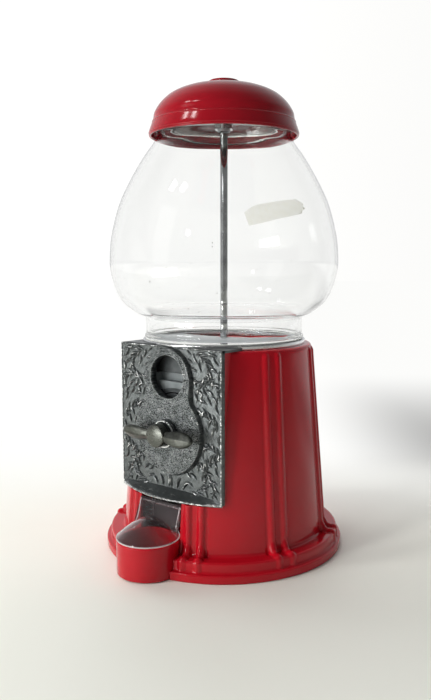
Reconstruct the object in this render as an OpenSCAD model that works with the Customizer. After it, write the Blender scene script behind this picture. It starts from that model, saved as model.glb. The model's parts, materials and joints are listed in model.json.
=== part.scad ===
// Coin-operated gumball machine: a round cast base with a glass globe and a domed lid.
// A coin dropped in behind the face plate lets the handle turn; the handle drives a crown
// gear that carries one gumball at a time from the hopper to the chute and the cup.
// The origin is on the machine's axis at floor level, +Z is up and the front faces -Y.
// Lengths are in millimetres and angles in degrees.

/* [Overall] */
// Height from the floor to the top of the lid knob
total_h = 381; // [380:0.5:383]

/* [Base] */
// Radius of the foot where it meets the floor
foot_r = 100; // [99:0.5:102]
// Height of the foot's lower step
foot_h = 9; // [8:0.5:9.5]
// Radius of the foot's upper step
step_r = 96.3; // [95:0.1:97]
// Height of the foot's upper step
step_top = 15; // [14:0.5:16]
// Radius of the tapered body at the foot
body_low_r = 85; // [84.5:0.5:86]
// Radius of the tapered body at its top
body_top_r = 73; // [72.5:0.5:74]
// Height of the body's top deck
body_top = 169.5; // [169:0.5:170]
// Wall thickness of the casting
wall = 3; // [2.5:0.1:3.2]
// Radius of each reed on the body
reed_r = 3.2; // [2.8:0.1:3.5]
// Distance of each reed from its pilaster's centre line
reed_offset = 5.5; // [5:0.1:6]

/* [Face plate] */
// Width of the face plate
plate_w = 104; // [103:0.5:105]
// Height of the plate's lower edge
plate_low = 55; // [55:0.1:55.5]
// Height of the plate's upper edge
plate_top = 171.5; // [171:0.1:171.7]
// Distance of the plate's flat front from the axis
plate_front = 68.3; // [68:0.1:68.6]
// Thickness of the plate
plate_t = 3; // [3:0.1:3.2]
// How far the raised pear-shaped panel stands out
panel_proud = 3.8; // [3.5:0.1:4]
// How far the visor below the plate reaches forward
visor_reach = 14; // [13:0.5:14.5]
// Radius of the coin hole
coin_hole_r = 16.7; // [16:0.1:17]
// Height of the coin hole's centre
coin_hole_z = 148; // [147.5:0.1:148.5]
// Height of the handle's shaft
shaft_z = 104; // [104:0.1:104.2]
// Half the span of the handle's wings
wing_reach = 35.5; // [33:0.5:37]

/* [Cup and chute] */
// Outer radius of the gumball cup
cup_r = 24.3; // [24:0.1:24.6]
// Distance of the cup's centre from the axis
cup_y = 94; // [93.5:0.5:94.5]
// Height of the cup's rim
cup_top = 26.7; // [26:0.1:27]
// Half the width of the chute opening
chute_half_w = 21; // [20.5:0.1:21.2]

/* [Globe and lid] */
// Outer radius of the globe's neck
neck_r = 65; // [64.5:0.1:65.2]
// Largest outer radius of the globe
globe_r = 94; // [92:0.5:95]
// Thickness of the glass
glass_t = 3; // [2.5:0.1:3.2]
// Height of the globe's mouth, on which the lid rests
mouth_z = 344; // [343.5:0.1:344.2]
// Outer radius of the lid's rolled rim
lid_r = 61; // [60.5:0.1:61.5]
// Radius of the knob on the lid
knob_r = 12.8; // [12:0.1:13.5]

/* [Dispenser] */
// Number of gumball pockets in the wheel
pockets = 6; // [6:1:6]
// Radius of each pocket
pocket_r = 10.5; // [10:0.1:10.8]
// Gear module of the crown gear and the pinion
gear_module = 1.6; // [1.6:0.1:1.6]
// Number of pinion teeth
pinion_teeth = 10; // [10:1:10]
// Number of crown gear teeth
crown_teeth = 30; // [30:1:30]

/* [Hidden] */
$fn = 96;

// Colours
red = "#b81420";
pewter = "#6d7170";
zinc = "#9a9d9c";
steel = "#c4c7c9";
clear = [0.85, 0.9, 0.92, 0.4];
ivory = "#e6e0cf";

// Base
taper = (body_low_r - body_top_r) / (body_top - step_top);
edge_r = 3;                         // rounded top edge of the body
foot_edge = 1;                      // small rounding on the foot's steps
deck_hole_r = 62.6;
deck_low = body_top - wall;
pilaster_angles = [for (i = [0:7]) 22.5 + 45 * i];
reed_sink = 1.2;                    // depth of each reed's axis inside the wall
reed_top = 166;
knob_post_r = 3.5;
knob_ball_r = 3.7;
knob_dist = step_r - knob_post_r + 0.6;
knob_z = step_top + 1.4;
boss_half_w = 49;
plate_back = plate_front - plate_t;
ledge_low = plate_low - 4.4;        // underside of the ledge below the visor
window_half_w = 43;
opening_low = 19;
clear_gap = 0.3;                    // gap around the cup in its notch
cup_notch_r = cup_r + clear_gap;

// Bottom plate and coin door
bottom_low = 4;
bottom_t = 2;
bottom_r = foot_r - wall - 0.5;
door_plug_r = 20;
door_plug_at = [-30, 38];
door_tab_half_w = 4;
door_tab_reach = 2.2;
door_flange_low = 1.4;
door_rim_z = 8;

// Cup
cup_low = 0.6;
cup_wall = 2.5;
cup_floor = 3.5;
lug_half_w = 11;
lug_t = 2.5;
cup_screw_x = 6;
cup_screw_y = 63;
cup_screw_r = 1.6;

// Face plate
panel_front = plate_front + panel_proud;
lobe_top_r = 22.6;
lobe_low_r = 33.5;
border_w = 2;
border_proud = 1.2;
visor_r = (plate_w * plate_w / 4 + visor_reach * visor_reach) / (2 * visor_reach);
visor_y = visor_r - visor_reach - plate_front;
visor_edge_t = 2;
visor_rise = 4;
visor_low = plate_low - 1.4;
plate_hook = 22;                    // depth of the flange that runs back over the body
plate_flange_t = 2;

// Handle, shaft and coin mechanism; y values are distances in front of the axis
shaft_r = 4;
fit_gap = 0.06;                     // running clearance on a radius
bush_r = 11;
bush_front = 78.6;
hub_r = 9;
hub_front = 87;
hub_back = bush_front + 0.4;
wing_h = 12;
wing_t = 4.6;
wing_y = hub_front - 1.2;
mech_r = 34;
mech_bore = 30.6;
mech_back = 46;
mech_inner = 49;
mech_screw_x = 37.5;
ear_half_h = 4.5;
mech_screw_r = 1.5;
coin_wheel_r = 29.8;
coin_wheel_front = 65;
coin_wheel_back = 50;
coin_pocket = 24.8;                 // depth of each coin pocket in the wheel
coin_slot_w = 27;
coin_path_back = 62.3;              // back of the coin's path behind the plate
throat_half_w = 19;
throat_depth = 6;
throat_low = shaft_z + mech_r - 2.2;
throat_ledge_z = 143;
ratchet_front = 44.4;
ratchet_back = 40.4;
ratchet_r = 13;
ratchet_root_r = 10;
ratchet_teeth = 12;
pawl_pivot = [-18, shaft_z + 21];
pawl_pin_r = 1.5;
bracket_front = 36;
bracket_back = 33;
bracket_half_w = 25.5;
bracket_half_h = 8;
bracket_t = 1.5;
guide_slope = 22;
guide_t = 1.2;
pinion_front = 27;
pinion_back = 21;
shaft_back = 17;

// Crown gear drive
pitch_r = gear_module * pinion_teeth / 2;
crown_r = gear_module * crown_teeth / 2;
pitch_z = shaft_z + pitch_r;
tooth_add = 1.2;
tooth_ded = 1.75;
backlash = 0.6;
pressure = 20;
sleeve_r = 7;
rod_r = 3.15;
rod_bore = rod_r + fit_gap;
crown_face = 5;                     // length of the crown gear's teeth
crown_disc_low = pitch_z + tooth_ded - 0.2;
crown_disc_h = 4;

// Hopper
dish_r = 62;
dish_wall = 1.5;
dish_floor = 150;
dish_floor_t = 2;
washer_t = 1;
wheel_low = dish_floor + dish_floor_t + washer_t;
wheel_top = 170.2;
wheel_r = 59.8;
pocket_dist = 45.5;
drop_angle = 213.3;
dish_flange_t = 1.2;
dish_flange_r = 66;
guard_r = 61.7;
guard_t = 1.5;
ring_bore = 61.9;
ring_r = 67.7;
ring_top = 173.2;
gasket_t = 0.8;
glass_low = ring_top + gasket_t;

// Gum chute
drop_at = [pocket_dist * cos(drop_angle), pocket_dist * sin(drop_angle)];
tube_r = 12;
tube_wall = 1.4;
trough_w = 22;
trough_h = 12;
trough_t = 1.4;
trough_start_z = 58;
trough_end = [-1, -71];
trough_end_z = 28.6;

// Chute door
door_t = 1.6;
hinge_y = 77.6;
hinge_z = 48.5;
knuckle_r = 1.9;
pin_r = 0.9;
pin_half_l = 22.6;
door_half_w = 20.4;
door_low_z = 32;
door_low_y = 86;
dome_h = 15.5;
dome_base_r = 22.8;
dome_r = (dome_base_r * dome_base_r + dome_h * dome_h) / (2 * dome_h);
flange_z = cup_top + clear_gap;
flange_t = 1.4;

// Lid
lid_t = 1.6;
rim_low = 336.5;
liner_t = 1.2;
liner_r = 57;
knob_low = 377.2;
stem_r = 4.6;
stem_low = 339;
rod_low = 0.5;
rod_top = 374;

// One point of a smooth curve through p1 and p2
function curve_point(p0, p1, p2, p3, t) =
    0.5 * (2 * p1 + (p2 - p0) * t + (2 * p0 - 5 * p1 + 4 * p2 - p3) * t * t
    + (3 * p1 - p0 - 3 * p2 + p3) * t * t * t);
// A smooth line through a list of points
function smooth(pts, steps = 5) = let (last = len(pts) - 1)
    concat([for (i = [0:last - 1]) for (s = [0:steps - 1])
        curve_point(pts[max(i - 1, 0)], pts[i], pts[i + 1], pts[min(i + 2, last)], s / steps)],
    [pts[last]]);
// The same line moved to its left by d
function beside(pts, d) = let (last = len(pts) - 1)
    [for (i = [0:last]) let (v = pts[min(i + 1, last)] - pts[max(i - 1, 0)])
        pts[i] + d * [-v[1], v[0]] / norm(v)];
function reverse(pts) = [for (i = [len(pts) - 1:-1:0]) pts[i]];
// An arc of n steps
function arc(cx, cy, r, from, to, n = 5) =
    [for (i = [0:n]) let (a = from + (to - from) * i / n) [cx + r * cos(a), cy + r * sin(a)]];

// A cylinder along Y between two distances in front of the axis
module along_y(x, z, r, front, back) {
    translate([x, -front, z]) rotate([-90, 0, 0]) cylinder(r = r, h = front - back);
}
// A flat outline in X and Z, extruded along Y between two distances in front of the axis
module slab_y(front, back) {
    translate([0, -back, 0]) rotate([90, 0, 0]) linear_extrude(height = front - back) children();
}

// ---- Base ----

body_outline = concat(
    [[0, 0], [foot_r - foot_edge / 2, 0], [foot_r, foot_edge / 2]],
    arc(foot_r - foot_edge, foot_h - foot_edge, foot_edge, 0, 90, 3),
    [[step_r, foot_h]],
    arc(step_r - foot_edge, step_top - foot_edge, foot_edge, 0, 90, 3),
    [[body_low_r, step_top]],
    arc(body_top_r + taper * edge_r - edge_r, body_top - edge_r, edge_r, 0, 90, 5),
    [[0, body_top]]);
body_hollow = [
    [0, -1], [foot_r - wall, -1], [foot_r - wall, bottom_low + bottom_t],
    [step_r - wall, bottom_low + bottom_t], [step_r - wall, step_top - wall],
    [body_low_r - wall, step_top - wall], [body_top_r - wall + 0.1, deck_low], [0, deck_low]];

module reed(x) {
    lean = atan(taper);
    length = (reed_top - step_top) / cos(lean);
    translate([x, -(body_low_r - reed_sink), step_top])
        rotate([-lean, 0, 0]) cylinder(r = reed_r, h = length, $fn = 32);
}

module foot_knob(x) {
    translate([x, -knob_dist, foot_h - 1]) cylinder(r = knob_post_r, h = knob_z - foot_h + 1, $fn = 32);
    translate([x, -knob_dist, knob_z]) sphere(r = knob_ball_r, $fn = 32);
    translate([x, -knob_dist, knob_z])
        rotate([-90, 0, 0]) cylinder(r = knob_post_r - 0.3, h = knob_dist - body_low_r + wall, $fn = 32);
}

module front_box(half_w, front, back, low, high) {
    translate([-half_w, -front, low]) cube([2 * half_w, front - back, high - low]);
}

module base_housing() color(red) difference() {
    union() {
        difference() {
            union() {
                rotate_extrude() polygon(body_outline);
                front_box(boss_half_w, plate_back, 30, plate_low, body_top);
            }
            // inside of the casting
            difference() {
                rotate_extrude() polygon(body_hollow);
                front_box(2 * foot_r, 2 * foot_r, plate_back - wall, ledge_low, total_h);
            }
        }
        for (a = pilaster_angles) rotate([0, 0, a]) for (s = [-1, 1]) {
            reed(s * reed_offset);
            foot_knob(s * reed_offset);
        }
    }
    // flat front behind the face plate
    front_box(60, foot_r, plate_back, plate_low, total_h);
    front_box(60, foot_r, plate_front - 0.6, visor_low - 0.05, plate_low + 1);
    front_box(boss_half_w - wall, plate_back - wall, 0, plate_low, deck_low);
    // window for the mechanism
    front_box(window_half_w, plate_back + 1, plate_back - wall - 1, shaft_z - mech_r - 3, deck_low);
    // opening for the hopper dish
    translate([0, 0, deck_low - 1]) cylinder(r = deck_hole_r, h = wall + 2);
    // opening for the chute, and the door's pin
    front_box(chute_half_w, foot_r, body_low_r - 20, opening_low, ledge_low);
    front_box(chute_half_w, foot_r, plate_back, ledge_low - 1, plate_low + 1);
    door_pin_shape();
    // notch for the cup
    translate([0, -cup_y, -1]) cylinder(r = cup_notch_r, h = cup_top + 1.3);
    // inside of the shell, cleared of the reeds and knobs
    translate([0, 0, step_top - wall])
        cylinder(r1 = body_low_r - wall, r2 = body_low_r - wall - taper * 30, h = 30);
}

module bottom_plate() color(steel) difference() {
    translate([0, 0, bottom_low]) cylinder(r = bottom_r, h = bottom_t);
    translate([0, -cup_y, 0]) cylinder(r = cup_notch_r, h = 10);
    cylinder(r = rod_bore + 0.1, h = 10);
    translate([door_plug_at[0], door_plug_at[1], 0]) {
        cylinder(r = door_plug_r + fit_gap, h = 10);
        // notches that let the door's tabs through
        door_tabs(90, door_tab_half_w + 0.6, door_tab_reach + 0.6, 0, 10);
    }
    cup_screw_holes();
}

module cup_screw_holes()
    for (s = [-1, 1]) translate([s * cup_screw_x, -cup_screw_y, 0]) cylinder(r = cup_screw_r, h = 12);

// Two tabs around the plug of the coin door
module door_tabs(turn, half_w, reach, low, high) intersection() {
    translate([0, 0, low]) cylinder(r = door_plug_r + reach, h = high - low);
    rotate([0, 0, turn]) translate([-2 * door_plug_r, -half_w, low])
        cube([4 * door_plug_r, 2 * half_w, high - low]);
}

module coin_door() color("#2b2b2d") translate([door_plug_at[0], door_plug_at[1], 0]) difference() {
    union() {
        translate([0, 0, door_flange_low]) cylinder(r = door_plug_r + 3, h = bottom_low - door_flange_low);
        translate([0, 0, door_flange_low]) cylinder(r = door_plug_r, h = door_rim_z - door_flange_low);
        door_tabs(0, door_tab_half_w, door_tab_reach, bottom_low + bottom_t + 0.3, door_rim_z);
    }
    translate([0, 0, bottom_low - 1]) cylinder(r = door_plug_r - 2, h = 10);
    // coin slot that turns the door
    translate([-12, -1, 0]) cube([24, 2, door_flange_low + 0.8]);
}

module gumball_cup() color(red) {
    translate([0, -cup_y, 0]) rotate_extrude() polygon(concat(
        [[0, cup_low], [cup_r - 0.6, cup_low], [cup_r, cup_low + 0.6]],
        arc(cup_r - 0.8, cup_top - 0.8, 0.8, 0, 90, 3),
        arc(cup_r - cup_wall + 0.5, cup_top - 0.5, 0.5, 90, 180, 2),
        [[cup_r - cup_wall, cup_low + cup_floor + 3], [cup_r - cup_wall - 3, cup_low + cup_floor],
         [0, cup_low + cup_floor]]));
    // lug that is screwed down on the bottom plate
    difference() {
        translate([-lug_half_w, -cup_y + cup_r - 1.5, bottom_low + bottom_t])
            cube([2 * lug_half_w, cup_y - cup_r + 1.5 - cup_screw_y + 5, lug_t]);
        cup_screw_holes();
    }
}

module cup_screws() color(steel) for (s = [-1, 1]) translate([s * cup_screw_x, -cup_screw_y, 0]) {
    translate([0, 0, bottom_low - 1.5]) cylinder(r = cup_screw_r, h = bottom_t + lug_t + 1.5);
    translate([0, 0, bottom_low + bottom_t + lug_t]) difference() {
        cylinder(r = 3, h = 1.8);
        translate([-3.5, -0.4, 1.1]) cube([7, 0.8, 1]);
    }
}

// ---- Face plate and handle ----

module pear() {
    translate([0, coin_hole_z - 0.5]) circle(r = lobe_top_r);
    translate([0, shaft_z + 0.5]) circle(r = lobe_low_r);
    translate([-lobe_top_r, shaft_z]) square([2 * lobe_top_r, coin_hole_z - 0.5 - shaft_z]);
}

module face_plate() color(pewter) difference() {
    union() {
        front_box(plate_w / 2, plate_front, plate_back, plate_low, plate_top);
        slab_y(panel_front, plate_front - 1) pear();
        difference() {
            front_box(plate_w / 2, plate_front + border_proud, plate_front - 1, plate_low, plate_top);
            front_box(plate_w / 2 - border_w, 2 * plate_front, 0, plate_low + border_w, plate_top - border_w);
        }
        // visor over the chute
        intersection() {
            translate([0, visor_y, 0]) union() {
                translate([0, 0, visor_low]) cylinder(r = visor_r, h = visor_edge_t, $fn = 180);
                translate([0, 0, visor_low + visor_edge_t])
                    cylinder(r1 = visor_r, r2 = visor_r - visor_reach, h = visor_rise, $fn = 180);
            }
            front_box(plate_w / 2, 2 * plate_front, plate_back + plate_t - 0.5, 0, plate_top);
        }
        // flange that runs back over the body's deck
        front_box(plate_w / 2, plate_front, plate_back - plate_hook, plate_top - plate_flange_t, plate_top);
    }
    // room for the seat ring
    translate([0, 0, body_top]) cylinder(r = ring_r + 0.2, h = 10);
    along_y(0, coin_hole_z, coin_hole_r, panel_front + 1, plate_back - 1);
    along_y(0, shaft_z, bush_r - 3, panel_front + 1, plate_back - 1);
}

module handle_bushing() color("#3b3d3f") difference() {
    union() {
        along_y(0, shaft_z, bush_r, bush_front, panel_front);
        along_y(0, shaft_z, bush_r - 3, panel_front, plate_back);
    }
    along_y(0, shaft_z, shaft_r + fit_gap, 100, 50);
}

module wing() {
    // outline of a petal that starts inside the hub
    polygon(concat([[0, -4]],
        smooth([[8, -4.2], [18, -wing_h / 2], [27, -wing_h / 2 + 0.6], [33.5, -3.2],
                [wing_reach, 0], [33.5, 3.2], [27, wing_h / 2 - 0.6], [18, wing_h / 2], [8, 4.2]], 3),
        [[0, 4]]));
}

module handle() color("#8c8c86") difference() {
    union() {
        along_y(0, shaft_z, hub_r, hub_front, hub_back);
        translate([0, 0, shaft_z]) slab_y(wing_y, wing_y - wing_t) wing();
        translate([0, 0, shaft_z]) mirror([1, 0, 0]) slab_y(wing_y, wing_y - wing_t) wing();
    }
    along_y(0, shaft_z, shaft_r, 100, 50);
}

module handle_shaft() color(steel)
    along_y(0, shaft_z, shaft_r, hub_front - 2.4, shaft_back);

module handle_screw() color(steel) difference() {
    along_y(0, shaft_z, shaft_r - 0.4, hub_front - 0.2, hub_front - 2.4);
    front_box(shaft_r, hub_front, hub_front - 1, shaft_z - 0.4, shaft_z + 0.4);
}

// ---- Coin mechanism ----

module mech_housing() color(zinc) difference() {
    union() {
        along_y(0, shaft_z, mech_r, plate_back, mech_back);
        // ears for the screws
        front_box(mech_screw_x + ear_half_h, plate_back, mech_back,
            shaft_z - ear_half_h, shaft_z + ear_half_h);
    }
    along_y(0, shaft_z, mech_bore, plate_back + 1, mech_inner);
    along_y(0, shaft_z, shaft_r + fit_gap, 80, 40);
    along_y(pawl_pivot[0], pawl_pivot[1], pawl_pin_r, 60, 40);
    // way in for the coin, and its way out below
    front_box(coin_slot_w / 2, plate_back + 1, coin_path_back, shaft_z + 20, shaft_z + mech_r + 1);
    front_box(coin_slot_w / 2, coin_wheel_front, coin_wheel_back, shaft_z - mech_r - 1, shaft_z - 20);
    for (s = [-1, 1]) along_y(s * mech_screw_x, shaft_z, mech_screw_r, plate_back + 1, mech_back - 1);
}

module mech_screws() color(steel) for (s = [-1, 1]) {
    along_y(s * mech_screw_x, shaft_z, mech_screw_r, plate_back, mech_back - bracket_t);
    along_y(s * mech_screw_x, shaft_z, 2 * mech_screw_r, mech_back - bracket_t, mech_back - bracket_t - 2);
}

module coin_throat() color(zinc) difference() {
    union() {
        // ledge behind the coin hole, and a cheek on each side of the coin
        front_box(throat_half_w, coin_path_back, coin_path_back - throat_depth, throat_low, throat_ledge_z);
        for (s = [-1, 1]) translate([s * (throat_half_w - 1), 0, 0])
            front_box(1, plate_back, coin_path_back - throat_depth, throat_low, dish_floor - 1);
        front_box(throat_half_w, coin_path_back - throat_depth + 1.5, coin_path_back - throat_depth,
            throat_low, dish_floor - 1);
    }
    along_y(0, shaft_z, mech_r, 80, 40);
}

module shaft_bracket() color(steel) difference() {
    union() {
        bracket_box(-bracket_half_w, bracket_half_w, bracket_front, bracket_back);
        for (s = [-1, 1]) {
            bracket_box(s * bracket_half_w, s * (bracket_half_w - 2.5), mech_back, bracket_back);
            bracket_box(s * (bracket_half_w - 2.5), s * (mech_screw_x + 4), mech_back, mech_back - bracket_t);
        }
    }
    along_y(0, shaft_z, shaft_r + fit_gap, 50, 20);
    for (s = [-1, 1]) along_y(s * mech_screw_x, shaft_z, mech_screw_r, 50, 40);
}

// One leg of the bracket, between two x values and two distances in front of the axis
module bracket_box(x1, x2, front, back) {
    translate([min(x1, x2), -front, shaft_z - bracket_half_h])
        cube([abs(x2 - x1), front - back, 2 * bracket_half_h]);
}

module coin_wheel() color(zinc) difference() {
    along_y(0, shaft_z, coin_wheel_r, coin_wheel_front, coin_wheel_back);
    along_y(0, shaft_z, shaft_r, 80, 40);
    translate([0, 0, shaft_z]) for (turn = [0, 180]) rotate([0, turn, 0])
        translate([-coin_slot_w / 2, -coin_path_back - 10, coin_wheel_r - coin_pocket])
            cube([coin_slot_w, 10, coin_pocket + 5]);
}

module ratchet_wheel() color(steel) difference() {
    translate([0, 0, shaft_z]) slab_y(ratchet_front, ratchet_back)
        polygon([for (i = [0:ratchet_teeth - 1]) let (a = 90 - 15 + i * 360 / ratchet_teeth)
            each [ratchet_r * [cos(a), sin(a)], ratchet_root_r * [cos(a), sin(a)]]]);
    along_y(0, shaft_z, shaft_r, 80, 20);
}

module pawl_pin() color(steel)
    along_y(pawl_pivot[0], pawl_pivot[1], pawl_pin_r, mech_inner, ratchet_back - 1);

module ratchet_pawl() color(steel) difference() {
    translate([pawl_pivot[0], 0, pawl_pivot[1]]) slab_y(ratchet_front + 0.8, ratchet_back) union() {
        circle(r = 4, $fn = 32);
        polygon([[-1, -3.9], [13, -6.9], [14.4, -7.9], [15.6, -5.4], [1.6, 3.6]]);
    }
    along_y(pawl_pivot[0], pawl_pivot[1], pawl_pin_r + fit_gap, 80, 20);
}

module coin_guide() color(steel) {
    // slide that turns coins away from the gum chute and into the bank
    translate([0, -(mech_back + 16), shaft_z - mech_r - 5])
        rotate([0, guide_slope, 0]) translate([-16, 0, -guide_t]) cube([46, 20, guide_t]);
    front_box(8, mech_back, mech_back - guide_t, shaft_z - mech_r - 6, shaft_z - 22);
}

module drive_pinion() color("#d8c38a") difference() {
    translate([0, 0, shaft_z]) slab_y(pinion_front, pinion_back) pinion_outline();
    along_y(0, shaft_z, shaft_r, 80, 10);
}

// Half the width of a gear tooth at a height above the pitch line
function tooth_half(h) = (PI * gear_module / 2 - backlash) / 2 - h * tan(pressure);

function turned(p, a) = [p[0] * cos(a) - p[1] * sin(a), p[0] * sin(a) + p[1] * cos(a)];

module pinion_outline() {
    root = pitch_r - tooth_ded;
    tip = pitch_r + tooth_add;
    tooth = [[-tooth_half(-tooth_ded) + 0.5, root], [-tooth_half(0), pitch_r],
        [-tooth_half(tooth_add) - 0.08, tip], [tooth_half(tooth_add) + 0.08, tip],
        [tooth_half(0), pitch_r], [tooth_half(-tooth_ded) - 0.5, root]];
    polygon([for (i = [0:pinion_teeth - 1]) each [for (p = tooth) turned(p, -i * 360 / pinion_teeth)]]);
}

module crown_gear() color(ivory) difference() {
    union() {
        translate([0, 0, crown_disc_low]) cylinder(r = crown_r + 3, h = crown_disc_h);
        translate([0, 0, crown_disc_low]) cylinder(r = sleeve_r + 3, h = crown_disc_h + 4);
        for (i = [0:crown_teeth - 1]) rotate([0, 0, (i + 0.5) * 360 / crown_teeth])
            translate([0, -crown_r + crown_face / 2, pitch_z]) rotate([90, 0, 0])
                linear_extrude(height = crown_face) crown_tooth();
    }
    translate([0, 0, pitch_z - 5]) cylinder(r = sleeve_r, h = 20);
}

module crown_tooth() polygon([
    [-tooth_half(tooth_add), -tooth_add], [tooth_half(tooth_add), -tooth_add],
    [tooth_half(-tooth_ded), tooth_ded], [-tooth_half(-tooth_ded), tooth_ded]]);

module drive_sleeve() color(steel) difference() {
    translate([0, 0, crown_disc_low - 1]) cylinder(r = sleeve_r, h = wheel_top - crown_disc_low + 1);
    translate([0, 0, crown_disc_low - 2]) cylinder(r = rod_bore, h = 100);
}

// ---- Hopper ----

module hopper_dish() color(zinc) difference() {
    union() {
        translate([0, 0, dish_floor]) cylinder(r = dish_r, h = body_top - dish_floor + dish_flange_t);
        translate([0, 0, body_top]) cylinder(r = dish_flange_r, h = dish_flange_t);
    }
    translate([0, 0, dish_floor + dish_floor_t]) cylinder(r = dish_r - dish_wall, h = 40);
    translate([0, 0, dish_floor - 1]) cylinder(r = sleeve_r + fit_gap, h = 10);
    translate([drop_at[0], drop_at[1], dish_floor - 1]) cylinder(r = tube_r, h = 10);
}

module thrust_washer() color(steel) translate([0, 0, dish_floor + dish_floor_t]) difference() {
    cylinder(r = 15, h = washer_t);
    translate([0, 0, -1]) cylinder(r = sleeve_r + 0.4, h = 4);
}

module gum_wheel() color(red) difference() {
    union() {
        translate([0, 0, wheel_low]) cylinder(r = wheel_r, h = wheel_top - wheel_low - 1.5);
        translate([0, 0, wheel_low]) cylinder(r = 18, h = wheel_top - wheel_low);
    }
    for (i = [0:pockets - 1]) rotate([0, 0, drop_angle + i * 360 / pockets])
        translate([pocket_dist, 0, wheel_low - 1]) cylinder(r = pocket_r, h = 30);
    translate([0, 0, wheel_low - 1]) cylinder(r = sleeve_r, h = 30);
}

module gum_guard() color(zinc) translate([0, 0, body_top + dish_flange_t]) difference() {
    cylinder(r = guard_r, h = guard_t);
    // open at the back, where gumballs fall into the wheel
    intersection() {
        translate([0, 0, -1]) cylinder(r = guard_r - 6.5, h = 5);
        translate([-80, 8, -1]) cube([160, 80, 5]);
    }
    translate([0, 0, -1]) cylinder(r = rod_bore + 0.1, h = 5);
}

module gum_chute() color("#3a2426") {
    run = trough_end - drop_at;
    length = norm([run[0], run[1], trough_start_z - trough_end_z]);
    drop = asin((trough_start_z - trough_end_z) / length);
    heading = atan2(run[1], run[0]);
    difference() {
        union() {
            translate([drop_at[0], drop_at[1], trough_start_z])
                cylinder(r = tube_r + tube_wall, h = dish_floor - trough_start_z);
            translate([drop_at[0], drop_at[1], trough_start_z])
                rotate([0, 0, heading]) rotate([0, drop, 0])
                    translate([-16, -trough_w / 2 - trough_t, -trough_t])
                        cube([length + 16, trough_w + 2 * trough_t, trough_h + trough_t]);
        }
        translate([drop_at[0], drop_at[1], trough_start_z + 4]) cylinder(r = tube_r, h = 200);
        translate([drop_at[0], drop_at[1], trough_start_z])
            rotate([0, 0, heading]) rotate([0, drop, 0])
                translate([-12, -trough_w / 2, 0]) cube([length + 30, trough_w, 30]);
        // ends behind the door
        front_box(60, 120, -trough_end[1], 0, 80);
    }
}

// ---- Chute door ----

// Side view of the steep sheet: distance in front of the axis, and height
module door_side_outline() polygon([
    [hinge_y + 1, hinge_z + 1], [door_low_y + 0.8, door_low_z],
    [door_low_y - 0.9, door_low_z - 0.6], [hinge_y - 0.8, hinge_z]]);

module dome_ball(r) translate([0, -cup_y, flange_z + flange_t + dome_h - dome_r]) sphere(r = r, $fn = 64);

module chute_door() color(clear) difference() {
    union() {
        rotate([90, 0, -90]) translate([0, 0, -door_half_w])
            linear_extrude(height = 2 * door_half_w) door_side_outline();
        for (s = [-1, 1]) translate([s * (door_half_w - 3) - 3, -hinge_y, hinge_z])
            rotate([0, 90, 0]) cylinder(r = knuckle_r, h = 6, $fn = 32);
        translate([0, -cup_y, flange_z]) cylinder(r = cup_r, h = flange_t);
        intersection() {
            dome_ball(dome_r);
            front_box(60, 160, 0, flange_z, total_h);
        }
    }
    // inside of the dome
    intersection() {
        dome_ball(dome_r - door_t);
        front_box(60, 160, 0, flange_z - 1, total_h);
    }
    // open behind the sheet
    difference() {
        front_box(60, door_low_y + 0.5, 0, flange_z - 1, flange_z + 40);
        front_box(door_half_w + 1, foot_r, hinge_y - knuckle_r - 1, door_low_z - 0.6, hinge_z + 4);
    }
    translate([-60, -hinge_y, hinge_z]) rotate([0, 90, 0]) cylinder(r = pin_r + fit_gap, h = 120);
}

module door_pin_shape()
    translate([-pin_half_l, -hinge_y, hinge_z]) rotate([0, 90, 0]) cylinder(r = pin_r, h = 2 * pin_half_l);

module door_hinge_pin() color(steel) door_pin_shape();

// ---- Globe, rod and lid ----

module globe_seat_ring() color(zinc) rotate_extrude() polygon(concat(
    [[ring_bore, body_top + dish_flange_t], [dish_flange_r + 0.1, body_top + dish_flange_t],
     [dish_flange_r + 0.1, body_top], [ring_r, body_top]],
    arc(ring_r - 0.6, ring_top - 0.6, 0.6, 0, 90, 3), [[ring_bore, ring_top]]));

module globe_gasket() color("#d9dcd6") translate([0, 0, ring_top]) difference() {
    cylinder(r = neck_r + 1, h = gasket_t);
    translate([0, 0, -1]) cylinder(r = neck_r - 3.4, h = 5);
}

// Outside of the glass from the neck to the mouth: radius and height
globe_curve = smooth([
    [neck_r, 188], [neck_r + 1.6, 191.4], [globe_r - 20, 195], [globe_r - 9.8, 204],
    [globe_r - 3.6, 216.5], [globe_r - 0.5, 229], [globe_r, 240], [globe_r - 2, 258],
    [globe_r - 8.5, 282], [globe_r - 17.5, 301], [globe_r - 27.4, 318], [58.6, 329.3], [54.8, 336]], 4);

module glass_globe() color(clear) rotate_extrude() polygon(concat(
    arc(neck_r - 0.2, glass_low + 1.6, 1.6, -90, 90, 4),
    [[neck_r, glass_low + 4]], globe_curve, [[54.6, mouth_z - 4.5]],
    arc(54.6, mouth_z - 2, 2, -60, 90, 4),
    [[54.6 - glass_t, mouth_z]], reverse(beside(globe_curve, glass_t)),
    [[neck_r - glass_t, glass_low]]));

module center_rod() color("silver")
    translate([0, 0, rod_low]) cylinder(r = rod_r, h = rod_top - rod_low);

module rod_washer() color(steel) translate([0, 0, 3]) difference() {
    cylinder(r = 8, h = 1);
    translate([0, 0, -1]) cylinder(r = rod_r, h = 3);
}

module rod_nut() color(steel) translate([0, 0, 0.8]) difference() {
    cylinder(r = 6.3, h = 2.2, $fn = 6);
    translate([0, 0, -1]) cylinder(r = rod_r, h = 5);
}

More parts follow.
